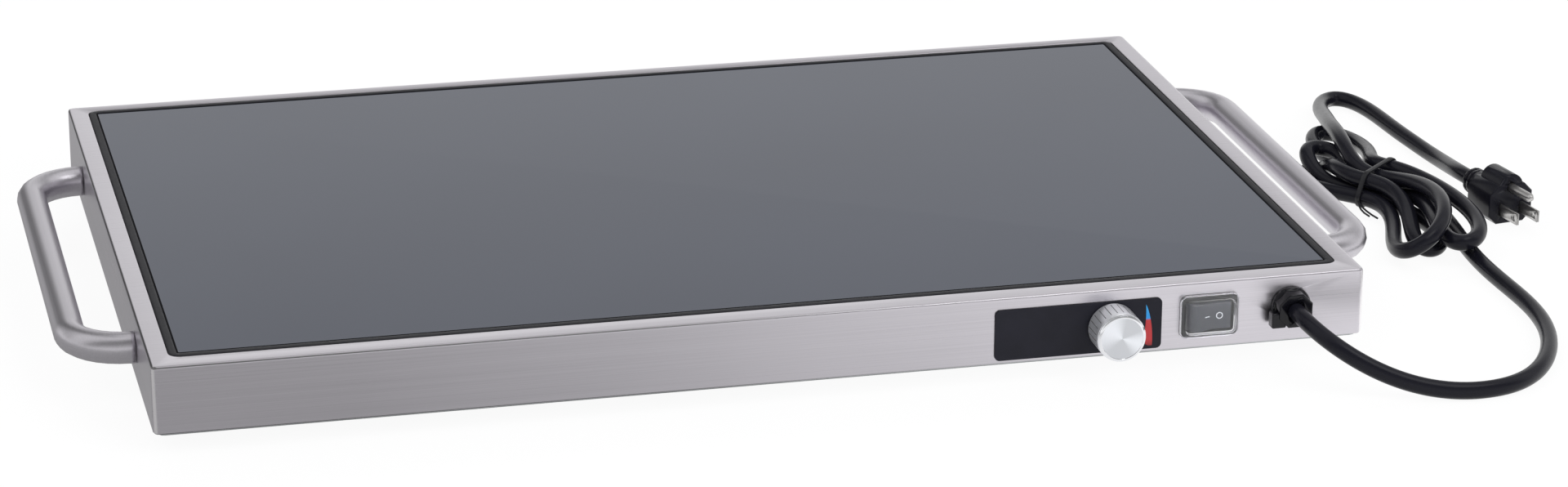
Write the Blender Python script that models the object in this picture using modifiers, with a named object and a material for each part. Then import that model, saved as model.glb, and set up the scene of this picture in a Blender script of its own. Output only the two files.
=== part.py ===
"""Countertop heated shelf: a glass-topped steel warming tray with two tube handles, a thermostat
knob, a booted rocker switch and a mains cord tied up in a hank.

Metres, +Z up, the table at z = 0, the controls on the -Y side. The origin is the middle of the
footprint of everything but the cord.
"""

import math

import bmesh
import bpy
import numpy as np
from mathutils import Matrix, Vector

MM = 0.001

# Driving dimensions
BODY_WIDTH = 610 * MM
BODY_DEPTH = 406 * MM
WALL_HEIGHT = 34.5 * MM
FLOOR_GAP = 10 * MM  # from the table up to the walls' lower edge
SHEET = 1.0 * MM  # stainless sheet of the housing
SEAT_GAP = 0.3 * MM  # between two pieces that rest against each other
OVERRUN = 3 * MM  # how far a cutter runs past what it cuts

# Housing
CORNER_RADIUS = 3.0 * MM
TOP_EDGE_RADIUS = 1.2 * MM
LOWER_EDGE_RADIUS = 0.8 * MM
FLANGE_WIDTH = 12 * MM  # bottom return flange, measured inside the wall
SIDE_RIM = 10 * MM
FRONT_RIM = 12 * MM
BACK_RIM = 8 * MM
OPENING_CORNER = 6 * MM

# Glass, its seal and the ledge that carries it
GLASS_THICKNESS = 4.0 * MM
GLASS_BELOW_RIM = 0.4 * MM
GLASS_BEVEL = 1.0 * MM
SEAL_BEAD = 3.0 * MM
SEAL_BELOW_GLASS = 0.9 * MM  # how far the seal's bead stays under the glass top
SEAL_LIP_WIDTH = 6.0 * MM
SEAL_LIP_THICKNESS = 0.8 * MM
LEDGE_THICKNESS = 1.0 * MM
LEDGE_REACH = 8.0 * MM  # past the edge of the glass opening

# Heater stack
MAT_THICKNESS = 1.5 * MM
MAT_CORNER = 5 * MM
BLANKET_THICKNESS = 11.7 * MM
PAN_SHEET = 0.8 * MM
PAN_FLANGE = 14 * MM
CONTROL_BAY = 46 * MM  # from the front wall's inner face back to the pan
PAN_SIDE_ROOM = 6 * MM  # from the side and back walls to the pan's flange
BLANKET_ROOM = 1.0 * MM
CUTOUT_RADIUS = 8 * MM  # the round thermal cut-out under the mat
CUTOUT_X_SHARE = 0.2
BULB_RADIUS = 2.2 * MM
BULB_LENGTH = 80 * MM
BULB_SETBACK = 30 * MM

# Bottom
BASE_SHEET = 0.8 * MM
BASE_INSET = 2.0 * MM
BASE_CORNER = 4 * MM
SCREW_RADIUS = 1.6 * MM
SCREW_HEAD_RADIUS = 3.4 * MM
SCREW_HEAD_HEIGHT = 1.3 * MM
SCREW_LENGTH = 7 * MM
SCREW_CLEARANCE = 0.3 * MM
FOOT_RADIUS = 11 * MM
FOOT_TAPER = 1.5 * MM
FOOT_EDGE = 1.2 * MM
FOOT_INSET = 48 * MM
FOOT_STEM_RADIUS = 3.2 * MM
FOOT_BARB_RADIUS = 4.6 * MM
FOOT_BARB_HEIGHT = 3.5 * MM
FOOT_RECESS_RADIUS = 4.0 * MM
FOOT_RECESS_DEPTH = 3.0 * MM
SLOT_LENGTH = 34 * MM
SLOT_WIDTH = 4 * MM
SLOT_PITCH = 10 * MM
SLOT_COUNT = 5
SPACER_RADIUS = 4.0 * MM
SPACER_FOOT_RADIUS = 7.0 * MM
SPACER_FOOT_HEIGHT = 1.5 * MM

# Handles
TUBE_RADIUS = 7.94 * MM
HANDLE_SPAN = 256 * MM  # between the middles of the two legs
HANDLE_REACH = 29.5 * MM  # from the wall to the middle of the grip
HANDLE_BEND = 27.5 * MM
BOLT_RADIUS = 2.5 * MM
BOLT_HEAD_RADIUS = 4.6 * MM
BOLT_HEAD_HEIGHT = 3.5 * MM
BOLT_LENGTH = 13 * MM
WASHER_RADIUS = 6.5 * MM
WASHER_HEIGHT = 1.0 * MM

# Control panel, measured from the right wall and from the walls' lower edge
OVERLAY_WIDTH = 86.5 * MM
OVERLAY_HEIGHT = 26.6 * MM
OVERLAY_THICKNESS = 0.6 * MM
OVERLAY_CORNER = 2.6 * MM
OVERLAY_FROM_RIGHT = 150.2 * MM
OVERLAY_UP = 15.2 * MM
KNOB_FROM_RIGHT = 133.1 * MM
KNOB_UP = 15.5 * MM
SWITCH_FROM_RIGHT = 82.3 * MM
SWITCH_UP = 17.25 * MM
GLAND_FROM_RIGHT = 39.0 * MM
GLAND_UP = 18.4 * MM

# Knob and thermostat
KNOB_RADIUS = 12.5 * MM
KNOB_LENGTH = 17.6 * MM
KNOB_STAND_OFF = 0.8 * MM  # from the overlay to the knob's skirt
KNOB_WALL = 1.3 * MM
KNOB_FACE = 1.6 * MM
KNOB_RING = 1.4 * MM  # the polished chamfer round the face
KNOB_RING_DEPTH = 1.3 * MM
KNOB_FACE_RECESS = 0.35 * MM
GROOVE_COUNT = 24
GROOVE_WIDTH = 0.5 * MM
GROOVE_DEPTH = 0.45 * MM
GROOVE_MARGIN = 2.2 * MM
NUT_ACROSS = 14 * MM
NUT_HEIGHT = 2.6 * MM
NUT_ROOM = 1.0 * MM
BARREL_RADIUS = 4.8 * MM
BARREL_LENGTH = 7.5 * MM
SHAFT_RADIUS = 3.0 * MM
SHAFT_FLAT = 1.2 * MM  # cut from the shaft to make it a D
SHAFT_IN_KNOB = 9.5 * MM
THERMOSTAT_WIDTH = 31 * MM
THERMOSTAT_DEPTH = 24 * MM
THERMOSTAT_HEIGHT = 23 * MM
THERMOSTAT_EDGE = 1.2 * MM
RUNNING_GAP = 0.3 * MM

# Rocker switch and its boot
BEZEL_WIDTH = 28.6 * MM
BEZEL_HEIGHT = 20.5 * MM
BEZEL_THICKNESS = 1.8 * MM
BEZEL_CORNER = 1.6 * MM
SWITCH_BODY_WIDTH = 26.6 * MM
SWITCH_BODY_HEIGHT = 17.6 * MM
SWITCH_BODY_DEPTH = 21 * MM
ROCKER_HEIGHT = 14.0 * MM
ROCKER_END_RADIUS = 12.0 * MM
ROCKER_TRAVEL = math.radians(22)
ROCKER_PROUD = 0.5 * MM
ROCKER_BACK = 2.0 * MM
ROCKER_EDGE = 0.35 * MM
PIVOT_DEPTH = 4.5 * MM
PIVOT_RADIUS = 1.1 * MM
PIVOT_LENGTH = 1.0 * MM
TAB_WIDTH = 6.3 * MM
TAB_THICKNESS = 0.8 * MM
TAB_LENGTH = 8 * MM
TAB_SPACING = 12 * MM
BOOT_SKIN = 0.8 * MM
BOOT_SKIRT = 3.4 * MM
BOOT_CAP_WIDTH = 26.0 * MM
BOOT_CAP_HEIGHT = 17.8 * MM
BOOT_DEPTH = 8.2 * MM
BOOT_CORNER = 2.6 * MM
BOOT_CAP_EDGE = 0.7 * MM

# Strain relief
GLAND_RADIUS = 10.2 * MM
GLAND_FLANGE = 2.4 * MM
GLAND_ACROSS = 17.6 * MM
GLAND_LENGTH = 9.0 * MM
GLAND_NECK_RADIUS = 7.6 * MM
GLAND_TAIL_RADIUS = 8.6 * MM
GLAND_TAIL_LENGTH = 7.0 * MM
GLAND_SOCKET_DEPTH = 2.0 * MM
GLAND_EDGE = 0.8 * MM
WEDGE_WIDTH = 7.5 * MM
WEDGE_HEIGHT = 8.0 * MM
WEDGE_OUT = 3.4 * MM  # how far the wedge stands out of the head's side

# Wiring
WIRE_RADIUS = 1.2 * MM
WIRE_SPACING = 3.4 * MM
BLOCK_WIDTH = 30 * MM
BLOCK_DEPTH = 16 * MM
BLOCK_HEIGHT = 13 * MM
BLOCK_EDGE = 0.8 * MM
BLOCK_HOLE_RADIUS = 2.2 * MM
BLOCK_HOLE_DEPTH = 6 * MM
BLOCK_FROM_RIGHT = 215 * MM
GROUND_FROM_RIGHT = 22 * MM
GROUND_HEAD_RADIUS = 4.4 * MM
GROUND_HEAD_HEIGHT = 3.2 * MM

# Cord. Its tables are in cord diameters: X, Y and height from the table under the strain relief
CORD_RADIUS = 4.4 * MM
CORD = 2 * CORD_RADIUS
CORD_PITCH_SHARE = 1.15
CORD_STEP_SHARE = 0.5
LEAD_STEPS = 28
TAIL_STEPS = 32
LOOP_STEPS = 48  # the drawn tube has a point at every other step
SETTLE_ROUNDS = 420
SETTLE_SKIP_SHARE = 3.0
WAIST_SHARES = (14.39, 24.33)
WAIST_HEADING = -52.3  # degrees, along the strands towards the controls' side
SLOT_SHARES = {  # across the waist, height
    "low_left": (-1.68, 0.79),
    "low_mid_left": (-0.56, 0.79),
    "low_mid_right": (0.56, 0.79),
    "low_right": (1.68, 0.79),
    "high_left": (-1.12, 1.76),
    "high_middle": (0.00, 1.76),
    "high_right": (1.45, 1.96),
}
# way, slots out and in, tip, neck, side, fold radius, belly out and in, heights on the way round
LOOPS = (
    (-1, "low_right", "high_right", (15.45, 36.82), 3.41, -1, 1.25, 0.00, 1.02, (0.50, 0.50, 0.50, 1.59)),
    (1, "high_right", "low_mid_right", (15.34, 12.05), 3.86, 1, 1.14, 0.57, 0.00, (1.82, 1.61, 1.14, 0.68)),
    (-1, "low_mid_right", "low_mid_left", (12.61, 30.68), 3.18, 1, 1.02, 0.00, 0.00, (0.52, 1.45, 1.45, 0.52)),
    (1, "low_mid_left", "high_left", (13.98, 13.98), 4.09, 1, 1.25, 0.00, 0.00, (0.50, 0.50, 0.50, 0.91)),
    (-1, "high_left", "low_left", (12.27, 29.43), 2.95, 1, 1.14, 0.00, 0.00, (1.08, 0.50, 0.50, 0.50)),
    (1, "low_left", "high_middle", (12.39, 12.16), 4.77, -1, 1.36, 0.00, 0.11, (0.50, 0.50, 1.36, 2.39)),
)
LEAD_SHARES = (
    (0.17, -3.64, 3.07),
    (1.02, -5.23, 2.50),
    (2.50, -6.31, 1.65),
    (4.32, -7.16, 0.91),
    (6.14, -7.95, 0.52),
    (7.95, -8.47, 0.50),
    (9.77, -8.35, 0.50),
    (11.48, -7.44, 0.50),
    (13.30, -5.34, 0.50),
    (14.77, -2.95, 0.50),
    (15.74, -0.11, 0.50),
    (16.25, 3.07, 0.50),
    (16.25, 5.80, 0.50),
    (16.08, 8.64, 0.50),
    (16.02, 10.80, 0.50),
    (15.97, 13.07, 0.50),
    (16.02, 15.45, 0.50),
    (16.36, 17.73, 0.50),
    (16.70, 20.11, 0.50),
    (16.70, 22.39, 0.52),
)
TAIL_SHARES = (
    (13.92, 26.25, 2.22),
    (13.81, 28.41, 2.56),
    (14.06, 31.10, 2.33),
    (14.66, 33.86, 1.87),
    (15.45, 36.65, 1.59),
    (15.91, 38.18, 1.19),
    (16.36, 39.77, 0.82),
    (16.78, 41.24, 0.57),
    (17.24, 42.68, 0.50),
    (17.83, 43.76, 0.50),
    (18.52, 44.15, 0.50),
    (19.15, 43.81, 0.50),
    (19.60, 42.50, 0.50),
    (19.83, 40.11, 0.50),
    (20.11, 36.70, 0.50),
    (20.40, 33.30, 0.50),
    (20.60, 30.34, 0.52),
    (20.60, 27.84, 0.82),
    (20.39, 25.68, 1.25),
)
TIE_RADIUS = 0.8 * MM
TIE_GAP = 0.85 * MM
TIE_STEPS = 44

# Plug, measured forward from the end of its neck and up from the table
PLUG_NECK_SHARES = (20.36, 23.33)
PLUG_HEADING = -80.0
PLUG_CORD_HEIGHT = 12.5 * MM
PLUG_NECK_LENGTH = 16 * MM
PLUG_NECK_RADIUS = 6.2 * MM
PLUG_NECK_FLARE = 1.6 * MM
PLUG_NECK_RISE = 0.5 * MM
PLUG_OVERLAP = 3 * MM
PLUG_LENGTH = 40 * MM
PLUG_WIDTH = 27 * MM
PLUG_LOW = 0.2 * MM
PLUG_HIGH = 22 * MM
PLUG_FACET = 5.0 * MM
PLUG_SHOULDER = 4.5 * MM
PLUG_EDGE = 0.8 * MM
PLUG_BOSS_RADIUS = 7.5 * MM
PLUG_BOSS_LENGTH = 20 * MM
PLUG_RIB_COUNT = 2
PLUG_RIB_START = 2 * MM
PLUG_RIB_PITCH = 3.2 * MM
PLUG_RIB_WIDTH = 1.8 * MM
PLUG_RIB_RADIUS = 7.4 * MM
BLADE_Z = 8.5 * MM
BLADE_SPACING = 12.7 * MM
BLADE_HEIGHT = 6.35 * MM
BLADE_THICKNESS = 1.5 * MM
BLADE_LENGTH = 17.5 * MM
BLADE_ROOT = 5 * MM
BLADE_HOLE_RADIUS = 1.6 * MM
BLADE_HOLE_BACK = 4.2 * MM
GROUND_PIN_RADIUS = 2.4 * MM
GROUND_PIN_LENGTH = 20.6 * MM
PLUG_GROUND_HEIGHT = BLADE_Z + 11.9 * MM

# Places that follow from the sizes above
KNOB_REACH = SEAT_GAP + OVERLAY_THICKNESS + KNOB_STAND_OFF + KNOB_LENGTH
MID_Y = KNOB_REACH / 2
LEFT_X = -BODY_WIDTH / 2
RIGHT_X = BODY_WIDTH / 2
FRONT_Y = MID_Y - BODY_DEPTH / 2
BACK_Y = MID_Y + BODY_DEPTH / 2
WALL_LOW = FLOOR_GAP
WALL_TOP = WALL_LOW + WALL_HEIGHT
RIM_UNDER = WALL_TOP - SHEET
FLANGE_TOP = WALL_LOW + SHEET
INNER_FRONT = FRONT_Y + SHEET
INNER_BACK = BACK_Y - SHEET
INNER_RIGHT = RIGHT_X - SHEET
BASE_TOP = WALL_LOW - SEAT_GAP
BASE_LOW = BASE_TOP - BASE_SHEET
GLASS_TOP = WALL_TOP - GLASS_BELOW_RIM
GLASS_LOW = GLASS_TOP - GLASS_THICKNESS
SEAL_LIP_TOP = GLASS_LOW - SEAT_GAP
SEAL_LOW = SEAL_LIP_TOP - SEAL_LIP_THICKNESS
LEDGE_TOP = SEAL_LOW - SEAT_GAP
LEDGE_LOW = LEDGE_TOP - LEDGE_THICKNESS
MAT_TOP = GLASS_LOW - SEAT_GAP
MAT_LOW = MAT_TOP - MAT_THICKNESS
BLANKET_TOP = MAT_LOW - SEAT_GAP
BLANKET_LOW = BLANKET_TOP - BLANKET_THICKNESS
PAN_FLOOR_TOP = BLANKET_LOW - SEAT_GAP
PAN_LOW = PAN_FLOOR_TOP - PAN_SHEET
PAN_RIM_TOP = LEDGE_LOW - SEAT_GAP
KNOB_X = RIGHT_X - KNOB_FROM_RIGHT
KNOB_Z = WALL_LOW + KNOB_UP
SWITCH_X = RIGHT_X - SWITCH_FROM_RIGHT
SWITCH_Z = WALL_LOW + SWITCH_UP
GLAND_X = RIGHT_X - GLAND_FROM_RIGHT
GLAND_Z = WALL_LOW + GLAND_UP
OVERLAY_X = RIGHT_X - OVERLAY_FROM_RIGHT
OVERLAY_Z = WALL_LOW + OVERLAY_UP
HANDLE_Z = WALL_LOW + WALL_HEIGHT / 2

PARTS = None
CUTTERS = None


def clear_scene():
    for obj in list(bpy.data.objects):
        bpy.data.objects.remove(obj, do_unlink=True)


def make_collection(name):
    found = bpy.data.collections.new(name)
    bpy.context.scene.collection.children.link(found)
    return found


def material(name, colour, roughness, metallic=0.0, alpha=1.0):
    made = bpy.data.materials.new(name)
    made.use_nodes = True
    shader = made.node_tree.nodes["Principled BSDF"]
    shader.inputs["Base Color"].default_value = (*colour, 1.0)
    shader.inputs["Roughness"].default_value = roughness
    shader.inputs["Metallic"].default_value = metallic
    shader.inputs["Alpha"].default_value = alpha
    return made


def place(name, mesh, finish=None):
    """A mesh as a sub-part of the product, or as a cutter where it has no finish."""
    obj = bpy.data.objects.new(name, mesh)
    if finish is None:
        CUTTERS.objects.link(obj)
        obj.hide_render = True
        obj.display_type = "WIRE"
    else:
        PARTS.objects.link(obj)
        mesh.materials.append(finish)
    return obj


def smooth(obj, angle=math.radians(35)):
    obj.data.shade_smooth()
    obj.data.set_sharp_from_angle(angle=angle)
    return obj


def mesh_of(bm, name):
    bmesh.ops.recalc_face_normals(bm, faces=bm.faces)
    mesh = bpy.data.meshes.new(name)
    bm.to_mesh(mesh)
    bm.free()
    return mesh


def edges_along(bm, axis):
    """The edges that run along one axis, 0 for X to 2 for Z."""
    found = []
    for edge in bm.edges:
        run = edge.verts[1].co - edge.verts[0].co
        if abs(run[axis]) > 0.99 * run.length:
            found.append(edge)
    return found


def rim_edges(bm, axis, side):
    """The edges of the flat face at the low (-1) or high (1) end of an axis."""
    level = side * max(side * v.co[axis] for v in bm.verts)
    near = abs(level) * 1e-4 + 1e-7
    return [e for e in bm.edges if all(abs(v.co[axis] - level) < near for v in e.verts)]


def block(name, low, high, finish=None, corner=0.0, corner_axis=2, steps=3, rims=()):
    """A box between two corners. corner rounds the edges along corner_axis, and each of rims,
    (axis, side, radius, steps), rounds the edges of one end face."""
    low, high = Vector(low), Vector(high)
    middle = (low + high) / 2
    bm = bmesh.new()
    bmesh.ops.create_cube(bm, size=1.0)
    bmesh.ops.scale(bm, vec=high - low, verts=bm.verts)
    if corner:
        geometry = edges_along(bm, corner_axis)
        bmesh.ops.bevel(bm, geom=geometry, offset=corner, segments=steps, profile=0.5, affect="EDGES")
    for axis, side, radius, count in rims:
        geometry = rim_edges(bm, axis, side)
        bmesh.ops.bevel(bm, geom=geometry, offset=radius, segments=count, profile=0.5, affect="EDGES")
    obj = place(name, mesh_of(bm, name), finish)
    obj.location = middle
    return smooth(obj)


def round_bar(name, radius, start, end, finish=None, sides=24, end_radius=None):
    """A cylinder or cone between two points."""
    start, end = Vector(start), Vector(end)
    run = end - start
    bm = bmesh.new()
    bmesh.ops.create_cone(
        bm,
        cap_ends=True,
        segments=sides,
        radius1=radius,
        radius2=radius if end_radius is None else end_radius,
        depth=run.length,
    )
    obj = place(name, mesh_of(bm, name), finish)
    obj.location = (start + end) / 2
    obj.rotation_euler = run.to_track_quat("Z", "Y").to_euler()
    return smooth(obj)


def turned(name, profile, finish, at, facing=None, steps=32):
    """A profile of (radius, height) points, from the top down its outer side, turned about the
    axis through at. Its height runs along facing, +Z if none is given."""
    bm = bmesh.new()
    points = [bm.verts.new((radius, 0, height)) for radius, height in profile]
    for first, second in zip(points, points[1:]):
        bm.edges.new((first, second))
    mesh = bpy.data.meshes.new(name)
    bm.to_mesh(mesh)
    bm.free()
    obj = place(name, mesh, finish)
    obj.location = at
    if facing is not None:
        obj.rotation_euler = Vector(facing).to_track_quat("Z", "Y").to_euler()
    turn = obj.modifiers.new("turn", "SCREW")
    turn.steps = steps
    turn.render_steps = steps
    turn.use_merge_vertices = True
    turn.merge_threshold = 1e-5
    return obj


def outline(name, points, thickness, finish=None):
    """A flat closed outline in X and Y, thickness high and centred on z = 0, as a mesh."""
    curve = bpy.data.curves.new(name, "CURVE")
    curve.dimensions = "2D"
    curve.fill_mode = "BOTH"
    curve.extrude = thickness / 2
    spline = curve.splines.new("POLY")
    spline.points.add(len(points) - 1)
    for point, (x, y) in zip(spline.points, points):
        point.co = (x, y, 0, 1)
    spline.use_cyclic_u = True
    return curve_to_mesh(name, curve, finish)


def tube(name, points, radius, finish, resolution=2):
    """A round tube along points, as a mesh with its caps welded on."""
    curve = bpy.data.curves.new(name, "CURVE")
    curve.dimensions = "3D"
    curve.bevel_depth = radius
    curve.bevel_resolution = resolution
    curve.use_fill_caps = True
    spline = curve.splines.new("POLY")
    spline.points.add(len(points) - 1)
    for point, place_at in zip(spline.points, points):
        point.co = (*place_at, 1)
    return curve_to_mesh(name, curve, finish)


def curve_to_mesh(name, curve, finish):
    guide = bpy.data.objects.new(name + "_guide", curve)
    CUTTERS.objects.link(guide)
    graph = bpy.context.evaluated_depsgraph_get()
    mesh = bpy.data.meshes.new_from_object(guide.evaluated_get(graph))
    bpy.data.objects.remove(guide, do_unlink=True)
    bm = bmesh.new()
    bm.from_mesh(mesh)
    bmesh.ops.remove_doubles(bm, verts=bm.verts, dist=1e-6)
    bmesh.ops.recalc_face_normals(bm, faces=bm.faces)
    bm.to_mesh(mesh)
    bm.free()
    mesh.materials.clear()
    return smooth(place(name, mesh, finish))


def boolean(obj, other, operation="DIFFERENCE"):
    step = obj.modifiers.new(operation.lower(), "BOOLEAN")
    step.operation = operation
    step.solver = "EXACT"
    step.object = other
    return obj


def cut(obj, *cutters):
    for cutter in cutters:
        boolean(obj, cutter)
    return obj


def join(obj, *others):
    for other in others:
        boolean(obj, other, "UNION")
    return obj


def bevelled(obj, width, steps=1, angle=math.radians(40)):
    edge = obj.modifiers.new("edge", "BEVEL")
    edge.width = width
    edge.segments = steps
    edge.limit_method = "ANGLE"
    edge.angle_limit = angle
    return obj


def smooth_route(points, step):
    """Points about step apart on a smooth curve through the given ones."""
    points = [Vector(p) for p in points]
    padded = [2 * points[0] - points[1], *points, 2 * points[-1] - points[-2]]
    fine = []
    for a, b, c, d in zip(padded, padded[1:], padded[2:], padded[3:]):
        for share in (0.0, 0.125, 0.25, 0.375, 0.5, 0.625, 0.75, 0.875):
            fine.append(centripetal(a, b, c, d, share))
    fine.append(points[-1])
    length = sum((q - p).length for p, q in zip(fine, fine[1:]))
    count = max(2, round(length / step))
    return resample(fine, count)


def centripetal(a, b, c, d, share):
    """A point between b and c on the centripetal curve through four points."""
    t0 = 0.0
    t1 = t0 + math.sqrt((b - a).length)
    t2 = t1 + math.sqrt((c - b).length)
    t3 = t2 + math.sqrt((d - c).length)
    t = t1 + share * (t2 - t1)
    first = a.lerp(b, (t - t0) / (t1 - t0))
    second = b.lerp(c, (t - t1) / (t2 - t1))
    third = c.lerp(d, (t - t2) / (t3 - t2))
    left = first.lerp(second, (t - t0) / (t2 - t0))
    right = second.lerp(third, (t - t1) / (t3 - t1))
    return left.lerp(right, (t - t1) / (t2 - t1))


def resample(points, count):
    """count equal steps along a polyline, its ends kept."""
    lengths = [0.0]
    for p, q in zip(points, points[1:]):
        lengths.append(lengths[-1] + (q - p).length)
    found = []
    index = 0
    for number in range(count + 1):
        target = lengths[-1] * number / count
        while index < len(points) - 2 and lengths[index + 1] < target:
            index += 1
        span = lengths[index + 1] - lengths[index]
        share = (target - lengths[index]) / span if span else 0.0
        found.append(points[index].lerp(points[index + 1], min(share, 1.0)))
    return found


def around(width, depth, middle=(0.0, 0.0)):
    """The four corners of a rectangle, as (name, x, y)."""
    found = []
    for front_name, front in (("front", -1), ("back", 1)):
        for side_name, side in (("left", -1), ("right", 1)):
            x = middle[0] + side * width / 2
            y = middle[1] + front * depth / 2
            found.append((f"{front_name}_{side_name}", x, y))
    return found


def make_materials():
    return {
        "stainless": material("brushed_stainless", (0.60, 0.60, 0.61), 0.34, 1.0),
        "glass": material("dark_glass", (0.045, 0.050, 0.060), 0.06),
        "silicone": material("black_silicone", (0.015, 0.015, 0.017), 0.55),
        "galvanised": material("galvanised_sheet", (0.55, 0.57, 0.58), 0.45, 1.0),
        "aluminium": material("turned_aluminium", (0.80, 0.81, 0.83), 0.25, 1.0),
        "mat": material("heater_silicone", (0.42, 0.10, 0.05), 0.60),
        "fibre": material("ceramic_fibre", (0.86, 0.85, 0.80), 0.95),
        "black_plastic": material("black_plastic", (0.020, 0.020, 0.022), 0.42),
        "overlay": material("control_overlay", (0.012, 0.012, 0.015), 0.38),
        "clear": material("clear_silicone", (0.78, 0.79, 0.80), 0.20, 0.0, 0.35),
        "rubber": material("cord_rubber", (0.018, 0.018, 0.020), 0.50),
        "brass": material("nickel_brass", (0.78, 0.74, 0.66), 0.28, 1.0),
        "ceramic": material("ceramic_block", (0.88, 0.87, 0.82), 0.40),
        "zinc": material("zinc_steel", (0.62, 0.62, 0.60), 0.38, 1.0),
        "copper": material("copper_tube", (0.72, 0.40, 0.26), 0.35, 1.0),
        "wire_red": material("wire_red", (0.45, 0.03, 0.03), 0.45),
        "wire_white": material("wire_white", (0.80, 0.80, 0.78), 0.45),
        "wire_green": material("wire_green", (0.04, 0.30, 0.08), 0.45),
    }


# Housing


def opening_low(inset=0.0):
    return (LEFT_X + SIDE_RIM + inset, FRONT_Y + FRONT_RIM + inset)


def opening_high(inset=0.0):
    return (RIGHT_X - SIDE_RIM - inset, BACK_Y - BACK_RIM - inset)


def base_screw_places():
    """(name, x, y) of the screws that hold the base plate to the flange."""
    line_inset = SHEET + FLANGE_WIDTH / 2
    found = []
    for front_name, y in (("front", FRONT_Y + line_inset), ("back", BACK_Y - line_inset)):
        for side_name, side in (("left", -1), ("middle", 0), ("right", 1)):
            x = side * (BODY_WIDTH / 2 - line_inset - FLANGE_WIDTH)
            found.append((f"{front_name}_{side_name}", x, y))
    return found


def handle_leg_places():
    return [(f"{name}", x, y) for name, x, y in around(BODY_WIDTH, HANDLE_SPAN, (0.0, MID_Y))]


def make_housing(finish):
    rims = ((2, 1, TOP_EDGE_RADIUS, 2), (2, -1, LOWER_EDGE_RADIUS, 1))
    housing = block(
        "housing",
        (LEFT_X, FRONT_Y, WALL_LOW),
        (RIGHT_X, BACK_Y, WALL_TOP),
        finish,
        corner=CORNER_RADIUS,
        rims=rims,
    )
    cavity = block(
        "housing_cavity",
        (LEFT_X + SHEET, INNER_FRONT, FLANGE_TOP),
        (INNER_RIGHT, INNER_BACK, RIM_UNDER),
        corner=CORNER_RADIUS - SHEET,
    )
    inset = SHEET + FLANGE_WIDTH
    bottom = block(
        "housing_bottom_opening",
        (LEFT_X + inset, FRONT_Y + inset, WALL_LOW - OVERRUN),
        (RIGHT_X - inset, BACK_Y - inset, (FLANGE_TOP + RIM_UNDER) / 2),
        corner=CORNER_RADIUS,
    )
    window = block(
        "housing_window",
        (*opening_low(), (FLANGE_TOP + RIM_UNDER) / 2),
        (*opening_high(), WALL_TOP + OVERRUN),
        corner=OPENING_CORNER,
        steps=5,
    )
    cut(housing, cavity, bottom, window)
    reach = SHEET + OVERRUN
    barrel_hole = BARREL_RADIUS + SCREW_CLEARANCE
    cut(
        housing,
        round_bar("barrel_hole", barrel_hole, *through_front(KNOB_X, KNOB_Z, reach)),
        round_bar("gland_hole", GLAND_NECK_RADIUS + SEAT_GAP, *through_front(GLAND_X, GLAND_Z, reach), sides=28),
        block(
            "switch_hole",
            (SWITCH_X - switch_hole_half(0), FRONT_Y - OVERRUN, SWITCH_Z - switch_hole_half(1)),
            (SWITCH_X + switch_hole_half(0), FRONT_Y + reach, SWITCH_Z + switch_hole_half(1)),
        ),
    )
    for name, x, y in handle_leg_places():
        side = math.copysign(1, x)
        start = (x + side * OVERRUN, y, HANDLE_Z)
        end = (x - side * reach, y, HANDLE_Z)
        cut(housing, round_bar(name + "_bolt_hole", BOLT_RADIUS + SCREW_CLEARANCE, start, end, sides=16))
    for name, x, y in base_screw_places():
        start = (x, y, WALL_LOW - OVERRUN)
        end = (x, y, FLANGE_TOP + OVERRUN)
        cut(housing, round_bar(name + "_flange_hole", SCREW_RADIUS + SCREW_CLEARANCE, start, end, sides=12))
    return housing


def through_front(x, z, reach):
    """The two ends of a cutter that goes through the front wall."""
    return (x, FRONT_Y - OVERRUN, z), (x, FRONT_Y + reach, z)


def switch_hole_half(axis):
    size = (SWITCH_BODY_WIDTH, SWITCH_BODY_HEIGHT)[axis]
    return size / 2 + SEAT_GAP


def make_glass(finish):
    inset = SEAT_GAP + SEAL_BEAD + SEAT_GAP
    return block(
        "glass_top",
        (*opening_low(inset), GLASS_LOW),
        (*opening_high(inset), GLASS_TOP),
        finish,
        corner=OPENING_CORNER - SEAL_BEAD,
        steps=4,
        rims=((2, 1, GLASS_BEVEL, 1),),
    )


def make_glass_seal(finish):
    """The black bead round the glass, with a lip under its edge."""
    seal = block(
        "glass_seal",
        (*opening_low(SEAT_GAP), SEAL_LOW),
        (*opening_high(SEAT_GAP), GLASS_TOP - SEAL_BELOW_GLASS),
        finish,
        corner=OPENING_CORNER - SEAT_GAP,
        steps=5,
    )
    above = SEAT_GAP + SEAL_BEAD
    pocket = block(
        "seal_pocket",
        (*opening_low(above), SEAL_LIP_TOP),
        (*opening_high(above), GLASS_TOP + OVERRUN),
        corner=OPENING_CORNER - SEAL_BEAD + SEAT_GAP,
        steps=4,
    )
    within = above + SEAL_LIP_WIDTH
    middle = block(
        "seal_middle",
        (*opening_low(within), SEAL_LOW - OVERRUN),
        (*opening_high(within), GLASS_TOP),
    )
    return cut(seal, pocket, middle)


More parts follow.
